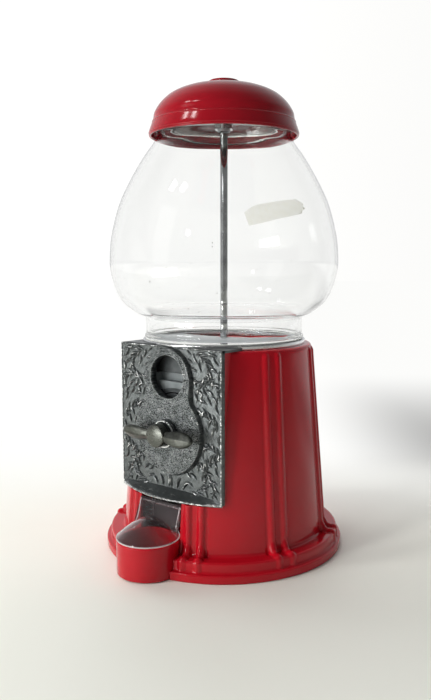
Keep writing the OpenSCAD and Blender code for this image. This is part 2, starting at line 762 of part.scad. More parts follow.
// Outside of the lid from the bead above its rim to its centre: radius and height
lid_flat_z = knob_low - 0.3;
lid_curve = smooth([
    [lid_r - 0.4, 340], [lid_r - 2, 346.6], [lid_r - 2.8, 348.4], [56.4, 355.3], [52.3, 361.5], [46.2, 367.4],
    [40.6, 370.8], [36.4, 372.6], [29.5, 374.9], [20, 376.2], [13, lid_flat_z],
    [stem_r + 0.3, lid_flat_z]], 3);

module lid() color(red) rotate_extrude() polygon(concat(
    arc(lid_r - 1, rim_low + 1, 1, -90, 20, 4), lid_curve,
    reverse(beside(lid_curve, lid_t)), [[lid_r - 2.2, rim_low + 1]]));

module lid_liner() color("silver") translate([0, 0, mouth_z]) difference() {
    cylinder(r = liner_r, h = liner_t);
    translate([0, 0, -1]) cylinder(r = stem_r + fit_gap, h = 5);
}

module liner_nut() color(steel) translate([0, 0, mouth_z - 3.2]) difference() {
    cylinder(r = 8, h = 3.2, $fn = 6);
    translate([0, 0, -1]) cylinder(r = stem_r, h = 6);
}

module lid_knob() color(red) difference() {
    union() {
        translate([0, 0, stem_low]) cylinder(r = stem_r, h = knob_low - stem_low + 1);
        rotate_extrude() polygon(concat(
            [[0, knob_low], [knob_r, knob_low]],
            arc(knob_r - 1.2, total_h - 1.2, 1.2, 0, 90, 4),
            [[7, total_h], [6.4, total_h - 1.2], [0, total_h - 1.2]]));
    }
    translate([0, 0, stem_low - 1]) cylinder(r = rod_bore, h = rod_top - stem_low + 1.5);
    translate([-5.6, -0.8, total_h - 2.2]) cube([11.2, 1.6, 3]);
}

base_housing();
bottom_plate();
gumball_cup();
cup_screws();
coin_door();
face_plate();
handle_bushing();
mech_housing();
mech_screws();
coin_throat();
shaft_bracket();
pawl_pin();
ratchet_pawl();
coin_guide();
handle();
handle_shaft();
handle_screw();
coin_wheel();
ratchet_wheel();
drive_pinion();
hopper_dish();
thrust_washer();
gum_wheel();
drive_sleeve();
crown_gear();
gum_guard();
gum_chute();
door_hinge_pin();
chute_door();
globe_seat_ring();
globe_gasket();
glass_globe();
center_rod();
rod_washer();
rod_nut();
lid();
lid_liner();
liner_nut();
lid_knob();
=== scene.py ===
"""Looks of a countertop gumball machine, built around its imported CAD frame.

Lengths in this file are millimetres unless a name says otherwise; meshes are scaled to metres on the way in.
The axis of the machine is Z, and its front faces -Y.
"""
import json
import math

import bmesh
import bpy
import numpy as np
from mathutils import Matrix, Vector


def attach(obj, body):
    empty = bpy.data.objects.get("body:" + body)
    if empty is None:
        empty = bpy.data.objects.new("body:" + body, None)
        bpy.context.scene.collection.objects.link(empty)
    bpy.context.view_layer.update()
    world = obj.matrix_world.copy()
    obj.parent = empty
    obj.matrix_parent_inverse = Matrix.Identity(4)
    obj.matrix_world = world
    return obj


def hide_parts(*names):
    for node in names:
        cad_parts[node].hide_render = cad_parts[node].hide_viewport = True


MM = 0.001
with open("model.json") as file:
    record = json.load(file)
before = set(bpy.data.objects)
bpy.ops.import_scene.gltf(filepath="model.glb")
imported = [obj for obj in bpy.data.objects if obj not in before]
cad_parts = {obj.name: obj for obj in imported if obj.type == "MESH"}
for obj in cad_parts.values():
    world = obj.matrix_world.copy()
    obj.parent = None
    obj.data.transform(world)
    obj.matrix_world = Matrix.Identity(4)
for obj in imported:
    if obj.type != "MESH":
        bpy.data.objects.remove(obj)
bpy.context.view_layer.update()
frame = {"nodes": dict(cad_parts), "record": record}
scene = bpy.context.scene


# ---------------------------------------------------------------- materials

def new_material(name):
    """A material with its node tree and its Principled shader."""
    m = bpy.data.materials.new(name)
    m.use_nodes = True
    tree = m.node_tree
    return m, tree, tree.nodes["Principled BSDF"]


def add(tree, kind, **inputs):
    """A node with constants on its sockets, named with _ for a space."""
    n = tree.nodes.new(kind)
    for key, value in inputs.items():
        n.inputs[key.replace("_", " ")].default_value = value
    return n


def ramp(tree, source, stops):
    """Colour that follows the source through (position, colour) stops."""
    n = tree.nodes.new("ShaderNodeValToRGB")
    e = n.color_ramp.elements
    while len(e) < len(stops):
        e.new(0.5)
    for el, (at, colour) in zip(e, stops):
        el.position = at
        el.color = (*colour, 1)
    tree.links.new(source, n.inputs["Fac"])
    return n.outputs["Color"]


def noise(tree, scale, detail=3, rough=0.5):
    """Noise over the object's own coordinates."""
    where = tree.nodes.new("ShaderNodeTexCoord")
    n = add(tree, "ShaderNodeTexNoise", Scale=scale, Detail=detail, Roughness=rough)
    tree.links.new(where.outputs["Object"], n.inputs["Vector"])
    return n.outputs["Fac"]


def spread(tree, source, low, high, from_low=0.3, from_high=0.7):
    """Value from low to high as the source goes from from_low to from_high."""
    n = add(tree, "ShaderNodeMapRange", From_Min=from_low, From_Max=from_high, To_Min=low, To_Max=high)
    tree.links.new(source, n.inputs["Value"])
    return n.outputs["Result"]


def bump(tree, shader, height, strength, distance):
    """Fine relief on a shader; distance is in metres."""
    n = add(tree, "ShaderNodeBump", Strength=strength, Distance=distance)
    tree.links.new(height, n.inputs["Height"])
    tree.links.new(n.outputs["Normal"], shader.inputs["Normal"])


def surface(name, dark, light, rough=(0.3, 0.4), metal=0.0, patches=25.0, grain=900.0, grain_depth=0.00004,
            grain_strength=0.2, transmission=0.0, ior=1.5, stretch=None):
    """A finish whose colour, roughness and grain all vary over the surface.

    patches and grain are noise scales; stretch draws the grain out along an axis, as turning or drawing does.
    """
    m, tree, p = new_material(name)
    link = tree.links.new
    link(ramp(tree, noise(tree, patches, 4), [(0.3, dark), (0.7, light)]), p.inputs["Base Color"])
    link(spread(tree, noise(tree, patches * 2.3, 3), *rough), p.inputs["Roughness"])
    p.inputs["Metallic"].default_value = metal
    p.inputs["Transmission Weight"].default_value = transmission
    p.inputs["IOR"].default_value = ior
    grained = noise(tree, grain, 2)
    if stretch:
        turn = tree.nodes.new("ShaderNodeMapping")
        turn.inputs["Scale"].default_value = stretch
        where = tree.nodes.new("ShaderNodeTexCoord")
        link(where.outputs["Object"], turn.inputs["Vector"])
        link(turn.outputs["Vector"], grained.node.inputs["Vector"])
    bump(tree, p, grained, grain_strength, grain_depth)
    return m


ENAMEL = dict(rough=(0.10, 0.16), ior=1.40, patches=14, grain=160, grain_depth=0.00016, grain_strength=0.1)
DRAWN_ALONG_Z = (1, 1, 0.05)

enamel = surface("red_enamel_paint", (0.42, 0.003, 0.010), (0.50, 0.005, 0.015), **ENAMEL)
# the lid's enamel is the same red painted darker: painted shade that tones down the light on its top
lid_painted_shade_enamel = surface("lid_red_enamel_painted_shade", (0.25, 0.003, 0.009), (0.33, 0.005, 0.013), **ENAMEL)
zinc = surface("cast_zinc", (0.13, 0.14, 0.14), (0.22, 0.23, 0.23), rough=(0.4, 0.6), metal=0.85, patches=70)
# painted shade: a darker, duller zinc for the parts down in the coin hole
painted_shade_zinc = surface("painted_shade_zinc", (0.045, 0.05, 0.052), (0.085, 0.092, 0.095), rough=(0.45, 0.65),
                      metal=0.7, patches=90)
throat_zinc = surface("throat_zinc", (0.135, 0.152, 0.157), (0.21, 0.228, 0.235), rough=(0.4, 0.6),
                      metal=0.5, patches=90)
dish_metal = surface("spun_dish_metal", (0.40, 0.41, 0.395), (0.55, 0.56, 0.54), rough=(0.22, 0.36),
                     metal=0.9, patches=60)
liner_metal = surface("rolled_liner_metal", (0.08, 0.086, 0.085), (0.15, 0.158, 0.155), rough=(0.1, 0.22),
                      metal=1.0, patches=55)
chute_plastic = surface("dark_chute_plastic", (0.030, 0.016, 0.017), (0.055, 0.028, 0.030), rough=(0.3, 0.45),
                        patches=40)
steel = surface("turned_steel", (0.55, 0.56, 0.57), (0.68, 0.69, 0.70), rough=(0.18, 0.32), metal=1.0,
                patches=90, stretch=DRAWN_ALONG_Z)
bright_tin = surface("bright_tinplate", (0.70, 0.71, 0.72), (0.84, 0.85, 0.86), rough=(0.16, 0.3),
                     metal=1.0, patches=40)
chrome = surface("chromed_rod", (0.50, 0.51, 0.52), (0.70, 0.71, 0.72), rough=(0.03, 0.12), metal=1.0,
                 patches=120, stretch=DRAWN_ALONG_Z)
brass = surface("brass_gear", (0.60, 0.42, 0.16), (0.74, 0.55, 0.24), rough=(0.25, 0.4), metal=1.0,
                patches=60)
ivory = surface("ivory_plastic", (0.70, 0.66, 0.54), (0.80, 0.76, 0.64), rough=(0.35, 0.5), patches=30)
red_plastic = surface("red_wheel_plastic", (0.42, 0.012, 0.015), (0.52, 0.02, 0.022), rough=(0.28, 0.42),
                      patches=30)
grey_plastic = surface("grey_guard_plastic", (0.30, 0.32, 0.33), (0.38, 0.40, 0.41), rough=(0.3, 0.45),
                       patches=45)
black_plastic = surface("black_door_plastic", (0.012, 0.012, 0.013), (0.03, 0.03, 0.03), rough=(0.4, 0.6),
                        patches=40)
rubber = surface("gasket_rubber", (0.55, 0.56, 0.54), (0.68, 0.69, 0.66), rough=(0.45, 0.65), patches=80)
dark_metal = surface("dark_shaft_metal", (0.03, 0.035, 0.035), (0.09, 0.095, 0.095), rough=(0.3, 0.45),
                     metal=0.9, patches=150)
bright_edge = surface("worn_bright_metal", (0.52, 0.53, 0.52), (0.80, 0.81, 0.79), rough=(0.2, 0.38),
                      metal=1.0, patches=220, grain=700, grain_depth=0.0002)
tape = surface("aged_tape", (0.93, 0.925, 0.86), (0.99, 0.99, 0.95), rough=(0.3, 0.5), patches=260,
               grain=1500, grain_depth=0.0002, grain_strength=0.5, transmission=0.86, ior=1.15)
# painted highlight: a pale, part-clear finish for the wire that draws the light along the flap's rim
painted_highlight_edge = surface("painted_highlight_plastic_edge", (0.66, 0.64, 0.64), (0.84, 0.82, 0.82), rough=(0.12, 0.24),
                       transmission=0.35, patches=150)
dust = surface("dust_specks", (0.16, 0.15, 0.14), (0.36, 0.35, 0.33), rough=(0.6, 0.8), patches=400)


def glass_like(name, tint_dark, tint_light, rough, ior, clearness, density=0):
    """Clear material with a faint haze that comes and goes; density is how fast its depth absorbs light."""
    m, tree, p = new_material(name)
    link = tree.links.new
    link(ramp(tree, noise(tree, 18, 3), [(0.3, tint_dark), (0.7, tint_light)]), p.inputs["Base Color"])
    link(spread(tree, noise(tree, 40, 4), *rough), p.inputs["Roughness"])
    link(spread(tree, noise(tree, 120, 5, 0.7), *clearness, 0.62, 0.8), p.inputs["Transmission Weight"])
    p.inputs["IOR"].default_value = ior
    if density:
        deep = add(tree, "ShaderNodeVolumeAbsorption", Color=(0.30, 0.33, 0.32, 1), Density=density)
        link(deep.outputs["Volume"], tree.nodes["Material Output"].inputs["Volume"])
    return m


glass = glass_like("blown_glass", (0.99, 0.994, 0.992), (0.998, 1.0, 0.999), (0.0, 0.012), 1.40,
                   (1.0, 0.985), 8.0)
clear = glass_like("clear_flap_plastic", (0.44, 0.38, 0.39), (0.56, 0.49, 0.50), (0.02, 0.06), 1.50,
                   (0.97, 0.92))


def antique(name, low, mid, high, rough_low, rough_high, metal, fleck=2600):
    """Aged casting, dark in the recesses and bright where the mesh's relief attribute is high, from rubbed
    metal and from painted highlights.
    """
    m, tree, p = new_material(name)
    link = tree.links.new
    relief = tree.nodes.new("ShaderNodeAttribute")
    relief.attribute_name = "relief"
    mixed = tree.nodes.new("ShaderNodeMath")
    mixed.operation = "ADD"
    link(relief.outputs["Fac"], mixed.inputs[0])
    link(spread(tree, noise(tree, 260, 4, 0.6), -0.22, 0.22), mixed.inputs[1])
    tones = [(0.0, low), (0.45, mid), (0.8, mid), (1.0, high)]
    link(ramp(tree, mixed.outputs[0], tones), p.inputs["Base Color"])
    link(spread(tree, mixed.outputs[0], rough_low, rough_high, 0.0, 1.0), p.inputs["Roughness"])
    link(spread(tree, mixed.outputs[0], metal, 0.45, 0.75, 1.0), p.inputs["Metallic"])
    bump(tree, p, noise(tree, fleck, 2), 0.35, 0.00015)
    return m


pewter = antique("antique_pewter", (0.012, 0.015, 0.015), (0.125, 0.135, 0.136), (0.95, 0.97, 0.96),
                 0.42, 0.24, 0.8)
worn_nickel = antique("worn_handle_metal", (0.035, 0.037, 0.032), (0.10, 0.104, 0.092), (0.34, 0.34, 0.31),
                      0.34, 0.22, 0.8, 1400)

BY_SLOT = {"red_enamel": enamel, "pewter": pewter, "zinc": zinc, "steel": steel, "brass": brass,
           "chrome": chrome, "ivory_plastic": ivory, "red_plastic": red_plastic, "grey_plastic": grey_plastic,
           "black_plastic": black_plastic, "clear_plastic": clear, "rubber": rubber, "glass": glass,
           "chute_plastic": chute_plastic}
BY_NODE = {"hopper_dish": dish_metal, "coin_throat": throat_zinc, "mech_housing": painted_shade_zinc,
           "coin_wheel": painted_shade_zinc}
slot_of = {s["node"]: s["material_slot"] for s in frame["record"]["subparts"]}
for node_name, node_object in frame["nodes"].items():
    node_object.data.materials.clear()
    node_object.data.materials.append(BY_NODE.get(node_name, BY_SLOT[slot_of[node_name]]))
# the dish is bright inside; its outer wall, down in the coin hole, gets the darker, duller zinc as painted
# shade
DISH_WALL_R, DISH_LIP_Z = 61.4, 168.5
dish = frame["nodes"]["hopper_dish"].data
dish.materials.append(painted_shade_zinc)
for face in dish.polygons:
    if math.hypot(face.center.x, face.center.y) > DISH_WALL_R * MM and face.center.z < DISH_LIP_Z * MM:
        face.material_index = 1


# ---------------------------------------------------------------- mesh helpers

def piece(name, verts, faces, finish, body=None, slot=None, replaces=(), sharp=34):
    """A smooth-shaded mesh object from points in millimetres; it rides on a body when one is given."""
    me = bpy.data.meshes.new(name)
    me.from_pydata((np.asarray(verts, float) * MM).tolist(), [], [tuple(map(int, f)) for f in faces])
    bm = bmesh.new()
    bm.from_mesh(me)
    bmesh.ops.recalc_face_normals(bm, faces=bm.faces)
    bm.to_mesh(me)
    bm.free()
    ob = bpy.data.objects.new(name, me)
    scene.collection.objects.link(ob)
    if finish:
        me.materials.append(finish)
    shade(ob, sharp)
    if body:
        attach(ob, body)
    if replaces:
        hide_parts(*replaces)
    return ob


def shade(ob, sharp=34):
    """Smooth shading with hard edges where the faces turn by more than sharp degrees."""
    me = ob.data
    me.polygons.foreach_set("use_smooth", np.ones(len(me.polygons), bool))
    me.set_sharp_from_angle(angle=math.radians(sharp))
    me.update()


def grid(rows, cols, wrap_rows=False, wrap_cols=False):
    """Quads over rows of points."""
    r = np.arange(rows if wrap_rows else rows - 1)
    c = np.arange(cols if wrap_cols else cols - 1)
    i, j = [k.ravel() for k in np.meshgrid(r, c, indexing="ij")]
    i2, j2 = (i + 1) % rows, (j + 1) % cols
    return np.stack([i * cols + j, i * cols + j2, i2 * cols + j2, i2 * cols + j], 1).tolist()


def lathe(profile, segments=192, along="z", at=(0, 0)):
    """Points and faces of a closed profile of (radius, height) turned round Z, or round a line along Y."""
    p = np.asarray(profile, float)
    a = np.linspace(0, 2 * np.pi, segments, endpoint=False)
    r, h = p[:, 0][:, None], p[:, 1][:, None]
    x, y, z = r * np.cos(a), r * np.sin(a), h + 0 * a
    if along == "y":
        # the height is then the distance in front of the axis
        x, y, z = x + at[0], -z, y + at[1]
    else:
        x, y = x + at[0], y + at[1]
    return np.stack([x, y, z], -1).reshape(-1, 3), grid(len(p), segments, wrap_rows=True, wrap_cols=True)


def smooth_path(points, steps=6):
    """Catmull-Rom curve through the points."""
    p = np.asarray(points, float)
    q = np.vstack([2 * p[0] - p[1], p, 2 * p[-1] - p[-2]])
    t = np.linspace(0, 1, steps, endpoint=False)[:, None]
    out = []
    for a, b, c, d in zip(q[:-3], q[1:-2], q[2:-1], q[3:]):
        out.append(0.5 * (2 * b + (c - a) * t + (2 * a - 5 * b + 4 * c - d) * t ** 2
                          + (3 * b - a - 3 * c + d) * t ** 3))
    return np.vstack(out + [p[-1:]])


def arc(x, y, r, start, end, n=6):
    """Points round a centre, between two angles in degrees."""
    a = np.radians(np.linspace(start, end, n))
    return np.stack([x + r * np.cos(a), y + r * np.sin(a)], 1)


def beside(path, d):
    """The path moved sideways by d, to its right."""
    t = np.gradient(path, axis=0)
    n = np.stack([t[:, 1], -t[:, 0]], 1) / np.linalg.norm(t, axis=1)[:, None]
    return path + n * d


def block(low, high):
    """Points and faces of a box, for a cutter or a thin plate."""
    lo, hi = np.minimum(low, high), np.maximum(low, high)
    v = [[(lo, hi)[i][0], (lo, hi)[j][1], (lo, hi)[k][2]] for i in (0, 1) for j in (0, 1) for k in (0, 1)]
    return v, [(0, 1, 3, 2), (4, 6, 7, 5), (0, 4, 5, 1), (2, 3, 7, 6), (0, 2, 6, 4), (1, 5, 7, 3)]


def rod(x, y, low, high, r, n=96):
    """Points and faces of an upright cylinder."""
    a = np.linspace(0, 2 * np.pi, n, endpoint=False)
    ring = np.stack([x + r * np.cos(a), y + r * np.sin(a)], 1)
    v = np.vstack([np.c_[ring, np.full(n, low)], np.c_[ring, np.full(n, high)]])
    sides = [(i, (i + 1) % n, n + (i + 1) % n, n + i) for i in range(n)]
    return v, [tuple(range(n))[::-1], tuple(range(n, 2 * n))] + sides


def rod_y(x, z, front, back, r, n=96):
    """The same along Y, between two distances in front of the axis."""
    v, f = rod(x, z, -front, -back, r, n)
    return v[:, [0, 2, 1]], f


def carve(ob, shape, operation="DIFFERENCE", solver="MANIFOLD"):
    """Applies one boolean with a shape given as (points, faces)."""
    cutter = piece("cutter", *shape, None)
    mod = ob.modifiers.new("carve", "BOOLEAN")
    mod.operation, mod.object, mod.solver = operation, cutter, solver
    apply_modifiers(ob)
    bpy.data.objects.remove(cutter)


def apply_modifiers(ob):
    """Replaces the mesh with what its modifiers make of it."""
    bpy.context.view_layer.update()
    me = bpy.data.meshes.new_from_object(ob.evaluated_get(bpy.context.evaluated_depsgraph_get()))
    old, name = ob.data, ob.data.name
    ob.modifiers.clear()
    ob.data = me
    bpy.data.meshes.remove(old)
    me.name = name


def tube(path, radius, sides=10):
    """Round wire along a path of points."""
    p = np.asarray(path, float)
    t = np.gradient(p, axis=0)
    t /= np.linalg.norm(t, axis=1)[:, None]
    up = np.where(np.abs(t[:, 2:3]) > 0.9, [[0.0, 1.0, 0.0]], [[0.0, 0.0, 1.0]])
    side = np.cross(t, up)
    side /= np.linalg.norm(side, axis=1)[:, None]
    top = np.cross(side, t)
    a = np.linspace(0, 2 * np.pi, sides, endpoint=False)
    v = p[:, None] + radius * (np.cos(a)[:, None] * side[:, None] + np.sin(a)[:, None] * top[:, None])
    n = len(p)
    caps = [tuple(range(sides))[::-1], tuple(range((n - 1) * sides, n * sides))]
    return v.reshape(-1, 3), grid(n, sides, wrap_cols=True) + caps


def smin(a, b, k):
    """The smaller of two distances, blended over k."""
    h = np.clip(0.5 + 0.5 * (b - a) / k, 0, 1)
    return b * (1 - h) + a * h - k * h * (1 - h)


def smax(a, b, k):
    """The larger of two distances, blended over k."""
    return -smin(-a, -b, k)


# ---------------------------------------------------------------- body

# radii of the foot, its step and the cone's two ends; heights of the cone's top, the step and the foot's ledge
FOOT_R, STEP_R, BODY_LOW, BODY_TOP, TOP_Z, STEP_Z, LEDGE_Z = 100.0, 96.3, 85.0, 73.0, 169.5, 15.0, 6.8
TAPER = (BODY_LOW - BODY_TOP) / (TOP_Z - STEP_Z)
SEAT_FRONT = 65.3        # how far in front of the axis the face plate's seat stands
CUP_Y = 94               # how far in front of the axis the gumball cup's middle is


def disc_distance(r, z, radius, height, edge):
    """Distance to a disc on the floor with a rounded edge."""
    qx, qz = r - (radius - edge), np.abs(z - height / 2) - (height / 2 - edge)
    return np.hypot(np.maximum(qx, 0), np.maximum(qz, 0)) + np.minimum(np.maximum(qx, qz), 0) - edge


def capsule(p, a, b, r):
    """Distance to a round bar from a to b."""
    a, b = np.array(a, float), np.array(b, float)
    h = np.clip(((p - a) @ (b - a)) / ((b - a) @ (b - a)), 0, 1)
    return np.linalg.norm(p - a - h[:, None] * (b - a), axis=1) - r


def body_distance(p):
    """Distance to the casting: foot, step and cone, with a pair of reeds and knobs on each pilaster."""
    r, z = np.hypot(p[:, 0], p[:, 1]), p[:, 2]
    foot = smin(disc_distance(r, z, FOOT_R, LEDGE_Z, 1.2), disc_distance(r, z, STEP_R, STEP_Z, 1.5), 1.6)
    cone = smax((r - (BODY_LOW - TAPER * (z - STEP_Z))) * math.cos(math.atan(TAPER)), z - TOP_Z, 3.0)
    d = smin(foot, cone, 2.2)
    eighth = np.radians(45)
    turn = np.arctan2(p[:, 0], -p[:, 1])
    local = (turn % eighth) - eighth / 2
    q = np.stack([np.abs(r * np.sin(local)), r * np.cos(local), z], 1)
    groove = capsule(q, (10.0, BODY_LOW + 0.45, STEP_Z - 2), (10.0, BODY_TOP + 0.85, 166), 1.15)
    d = smax(d, -groove, 0.5)
    reed = capsule(q, (5.2, BODY_LOW - 1.5, 20), (5.2, BODY_TOP - 1.3, 164.5), 3.2)
    sweep = capsule(q, (5.2, BODY_LOW - 1.5, 22), (5.5, BODY_LOW + 2.2, 15.2), 3.2)
    toe = capsule(q, (5.5, BODY_LOW + 2.2, 15.2), (5.8, 91.0, 14.2), 3.1)
    post = capsule(q, (6.0, 93.6, 4), (6.0, 93.3, 13.6), 3.9)
    d = smin(d, smin(reed, sweep, 0.8), 0.8)
    return smin(d, smin(toe, post, 0.8), 0.8)


def build_body():
    """The casting: its outside profile is turned and pressed onto body_distance, and openings are cut."""
    # columns are close together on the pilasters
    dense = np.radians(np.linspace(-8.6, 8.6, 49))
    sparse = np.radians(np.linspace(8.6, 36.4, 20))[1:-1]
    one = np.concatenate([dense, sparse])
    turn = np.sort(np.concatenate([one + np.radians(22.5 + 45 * i) for i in range(8)]) % (2 * np.pi))
    # heights of the cone's rows, close together where the reeds start and end
    cone_rows = (17.3, 18.6, 20, 21.5, 23, 25, 28, 32, 37, 43, 50, 58, 67, 77, 87, 97, 107, 117, 127, 137, 146,
                 153, 158, 161, 163, 164.5)
    outside = np.vstack([
        [[FOOT_R - 1.2, 0.0]], arc(FOOT_R - 1.2, 1.2, 1.2, -80, 0, 4), [[FOOT_R, z] for z in (2.4, 3.6, 4.8)],
        arc(FOOT_R - 1.2, LEDGE_Z - 1.2, 1.2, 0, 90, 5),
        [[98, LEDGE_Z], [97, LEDGE_Z], [STEP_R, LEDGE_Z + 0.7]],
        [[STEP_R, z] for z in (8.6, 9.8, 11, 12.2)], arc(STEP_R - 1.5, STEP_Z - 1.5, 1.5, 0, 90, 5),
        [[r, STEP_Z] for r in np.linspace(94, 86.6, 11)],
        [[85.6, STEP_Z + 0.3], [85.1, STEP_Z + 1.2]],
        [[BODY_LOW - TAPER * (z - STEP_Z), z] for z in cone_rows],
        arc(BODY_TOP + TAPER * 3 - 3, TOP_Z - 3, 3, 4, 90, 8), [[67, TOP_Z], [62.6, TOP_Z]]])
    inside = [[62.6, 166.5], [70.1, 166.5], [81.9, 18], [82, 12], [93.3, 12], [93.3, 6], [97, 6], [97, 0]]
    n_out = len(outside)
    profile = np.vstack([outside, inside])
    way = np.gradient(outside, axis=0)
    normal = np.stack([way[:, 1], -way[:, 0]], 1)
    normal /= np.linalg.norm(normal, axis=1)[:, None]
    # the press direction turns gently round the corners of the profile
    blur = normal.copy()
    for _ in range(3):
        blur[1:-1] = (blur[:-2] + blur[1:-1] * 2 + blur[2:]) / 4
    blur /= np.linalg.norm(blur, axis=1)[:, None]
    ring = np.stack([np.sin(turn), -np.cos(turn)], 1)
    pts = np.zeros((len(profile), len(turn), 3))
    pts[..., :2] = profile[:, 0][:, None, None] * ring
    pts[..., 2] = profile[:, 1][:, None]
    out = np.zeros((n_out, len(turn), 3))
    out[..., :2] = blur[:, 0][:, None, None] * ring
    out[..., 2] = blur[:, 1][:, None]
    # each point starts clear of the casting and moves in until it meets it
    start = (pts[:n_out] + 7 * out).reshape(-1, 3)
    step = out.reshape(-1, 3)
    gone = np.zeros(len(start))
    for _ in range(36):
        gone += np.clip(body_distance(start - step * gone[:, None]), -0.5, 2) * 0.9
    found = (start - step * gone[:, None]).reshape(n_out, len(turn), 3)
    found[0] = pts[0]
    found[-2:] = pts[n_out - 2:n_out]
    found[..., 2] = np.clip(found[..., 2], 0.0, TOP_Z)
    pts[:n_out] = found
    ob = piece("body_shell", pts.reshape(-1, 3), grid(len(profile), len(turn), True, True), enamel, "cabinet",
               "red_enamel", ("base_housing",), sharp=50)
    # the plate's seat: a flat cut, a box behind it, the box's inside, and its window
    carve(ob, block((-70, -130, 53.5), (70, -SEAT_FRONT, 180)))
    carve(ob, block((-49, -SEAT_FRONT, 50.6), (49, -54, TOP_Z)), "UNION")
    carve(ob, block((-46, -62.3, 55), (46, 0, 166.5)))
    carve(ob, block((-43, -70, 67), (43, -60, 166.5)))
    # the chute's opening and the cup's place in the foot
    carve(ob, block((-21, -130, 19), (21, -60, 50.6)))
    carve(ob, block((-21, -130, 49), (21, -SEAT_FRONT, 56)))
    carve(ob, rod(0, -CUP_Y, -5, 27, 24.6))
    shade(ob, 40)


build_body()

# gumball cup
cup_profile = np.vstack([
    [[0.01, 0.6], [23.2, 0.6]], arc(23.5, 1.4, 0.8, -80, 0, 4), [[24.3, 24.6]], arc(23.3, 25.7, 1.0, 0, 90, 5),
    arc(22.5, 25.9, 0.7, 95, 180, 4), [[21.8, 8]], arc(18.3, 7.6, 3.5, 0, -85, 6), [[0.01, 4.1]]])
piece("gumball_cup_shell", *lathe(cup_profile, 160, at=(0, -CUP_Y)), enamel, "cabinet", "red_enamel",
      ("gumball_cup",))


# ---------------------------------------------------------------- face plate

PLATE_HALF, PLATE_LOW, PLATE_TOP, PLATE_Y = 52.0, 55.0, 171.5, 68.3
# how far the raised panel stands out, the heights of the coin hole and the shaft, and the hole's radius
PROUD, COIN_Z, SHAFT_Z, COIN_R = 3.8, 148.0, 104.0, 16.7


def pear(x, z):
    """Distance outside the raised panel: two circles joined by a waist."""
    top = np.hypot(x, z - 147.5) - 22.6
    low = np.hypot(x, z - 104.5) - 33.5
    waist = np.maximum(np.abs(x) - 22.6, np.abs(z - 127) - 20.5)
    return smin(smin(top, low, 2.0), waist, 3.0)


def strokes():
    """Generic scrolling foliage: curled stems with leaves along their outer sides, and commas in the gaps."""
    made = []

    def curl(x, z, angle, length, bend, width, tip=0.25):
        """One stroke: it starts at (x, z), turns by bend degrees over its length and narrows at both ends."""
        n = 26
        s = np.linspace(0, 1, n)
        a = np.radians(angle + bend * s ** 1.4)
        px = x + np.concatenate([[0], np.cumsum(np.cos(a[:-1]))]) * length / (n - 1)
        pz = z + np.concatenate([[0], np.cumsum(np.sin(a[:-1]))]) * length / (n - 1)
        w = width * np.clip(np.sin(np.pi * (s * (1 - tip) + tip * 0.45)) + 0.05, 0.12, 1)
        path = np.stack([px, pz], 1)
        made.append((path, w))
        return path, np.degrees(a)

    def scroll(x, z, angle, length, bend, leaf, count):
        """A curled stem with leaves along its outer side, which shorten towards its end."""
        path, turn = curl(x, z, angle, length, bend, 1.15, 0.1)
        outward = -math.copysign(1, bend)
        for k in range(count):
            i = int((0.05 + 0.8 * k / count) * (len(path) - 1))
            size = leaf * (1 - 0.45 * k / count)
            curl(*path[i], turn[i] + outward * (38 + 9 * (k % 2)), size, -outward * 42, 0.98)

    scroll(20, 61, 4, 52, 300, 9, 9)
    scroll(35, 74, 72, 56, -230, 10, 10)
    scroll(47, 108, 112, 56, 250, 10, 10)
    scroll(25, 167, -8, 48, -290, 9, 9)
    scroll(48, 88, 100, 30, 240, 7, 6)
    scroll(30, 139, 60, 36, -250, 8, 7)
    spots = np.vstack([path for path, _ in made])
    for i in range(6):
        for j in range(19):
            x, z = 22.5 + 5.0 * i + 1.3 * (j % 2), 58.5 + 6.0 * j
            if np.hypot(spots[:, 0] - x, spots[:, 1] - z).min() > 2.3:
                curl(x, z, 118 + 34 * math.sin(1.3 * i + 0.8 * j), 8.5, 60 * (1 if (i + j) % 2 else -1), 0.95)
    for i in range(3):
        curl(1.5 + 6 * i, 60.4, 104 - 16 * i, 9.5, -30 - 15 * i, 1.1)
    return made + [(path * (-1, 1), w) for path, w in made]


STROKES = strokes()


def foliage(x, z):
    """Height of the foliage, 0 to 1, the hollow beside each stroke, and the crest along it."""
    height, hollow, crest = np.zeros(len(x)), np.zeros(len(x)), np.zeros(len(x))
    for path, width in STROKES:
        lo, hi = path.min(0) - 3, path.max(0) + 3
        near = np.where((x > lo[0]) & (x < hi[0]) & (z > lo[1]) & (z < hi[1]))[0]
        if not len(near):
            continue
        gap = np.hypot(x[near][:, None] - path[:, 0], z[near][:, None] - path[:, 1])
        best = (gap / width).argmin(1)
        ratio = gap[np.arange(len(near)), best] / width[best]
        ridge = np.clip(1 - ratio, 0, 1) ** 0.9 * np.clip(width[best] / 1.1, 0.3, 1.15)
        height[near] = np.maximum(height[near], ridge)
        ditch = np.exp(-((ratio - 1.15) / 0.2) ** 2) * np.clip(width[best], 0.3, 1)
        hollow[near] = np.maximum(hollow[near], ditch)
        line = np.clip((0.6 - ratio) / 0.3, 0, 1) * np.clip(width[best] * 2 - 0.8, 0, 1)
        crest[near] = np.maximum(crest[near], line)
    return height, hollow * np.clip(1 - height * 6, 0, 1), crest


def scatter(i, j, k):
    """Repeatable random numbers from 0 to 1 for whole-number cells."""
    v = np.sin(i * 127.1 + j * 311.7 + k * 74.7) * 43758.5453
    return v - np.floor(v)


def pebbles(x, z, size):
    """Rounded grains: 1 in the middle of each and 0 between them."""
    i, j = np.floor(x / size), np.floor(z / size)
    best = np.full(len(x), 9.0)
    for di in (-1, 0, 1):
        for dj in (-1, 0, 1):
            a, b = i + di, j + dj
            d = np.hypot((a + 0.15 + 0.7 * scatter(a, b, 1)) * size - x,
                         (b + 0.15 + 0.7 * scatter(a, b, 2)) * size - z)
            best = np.minimum(best, d / size)
    return np.clip(1 - (best / 0.62) ** 2, 0, 1)


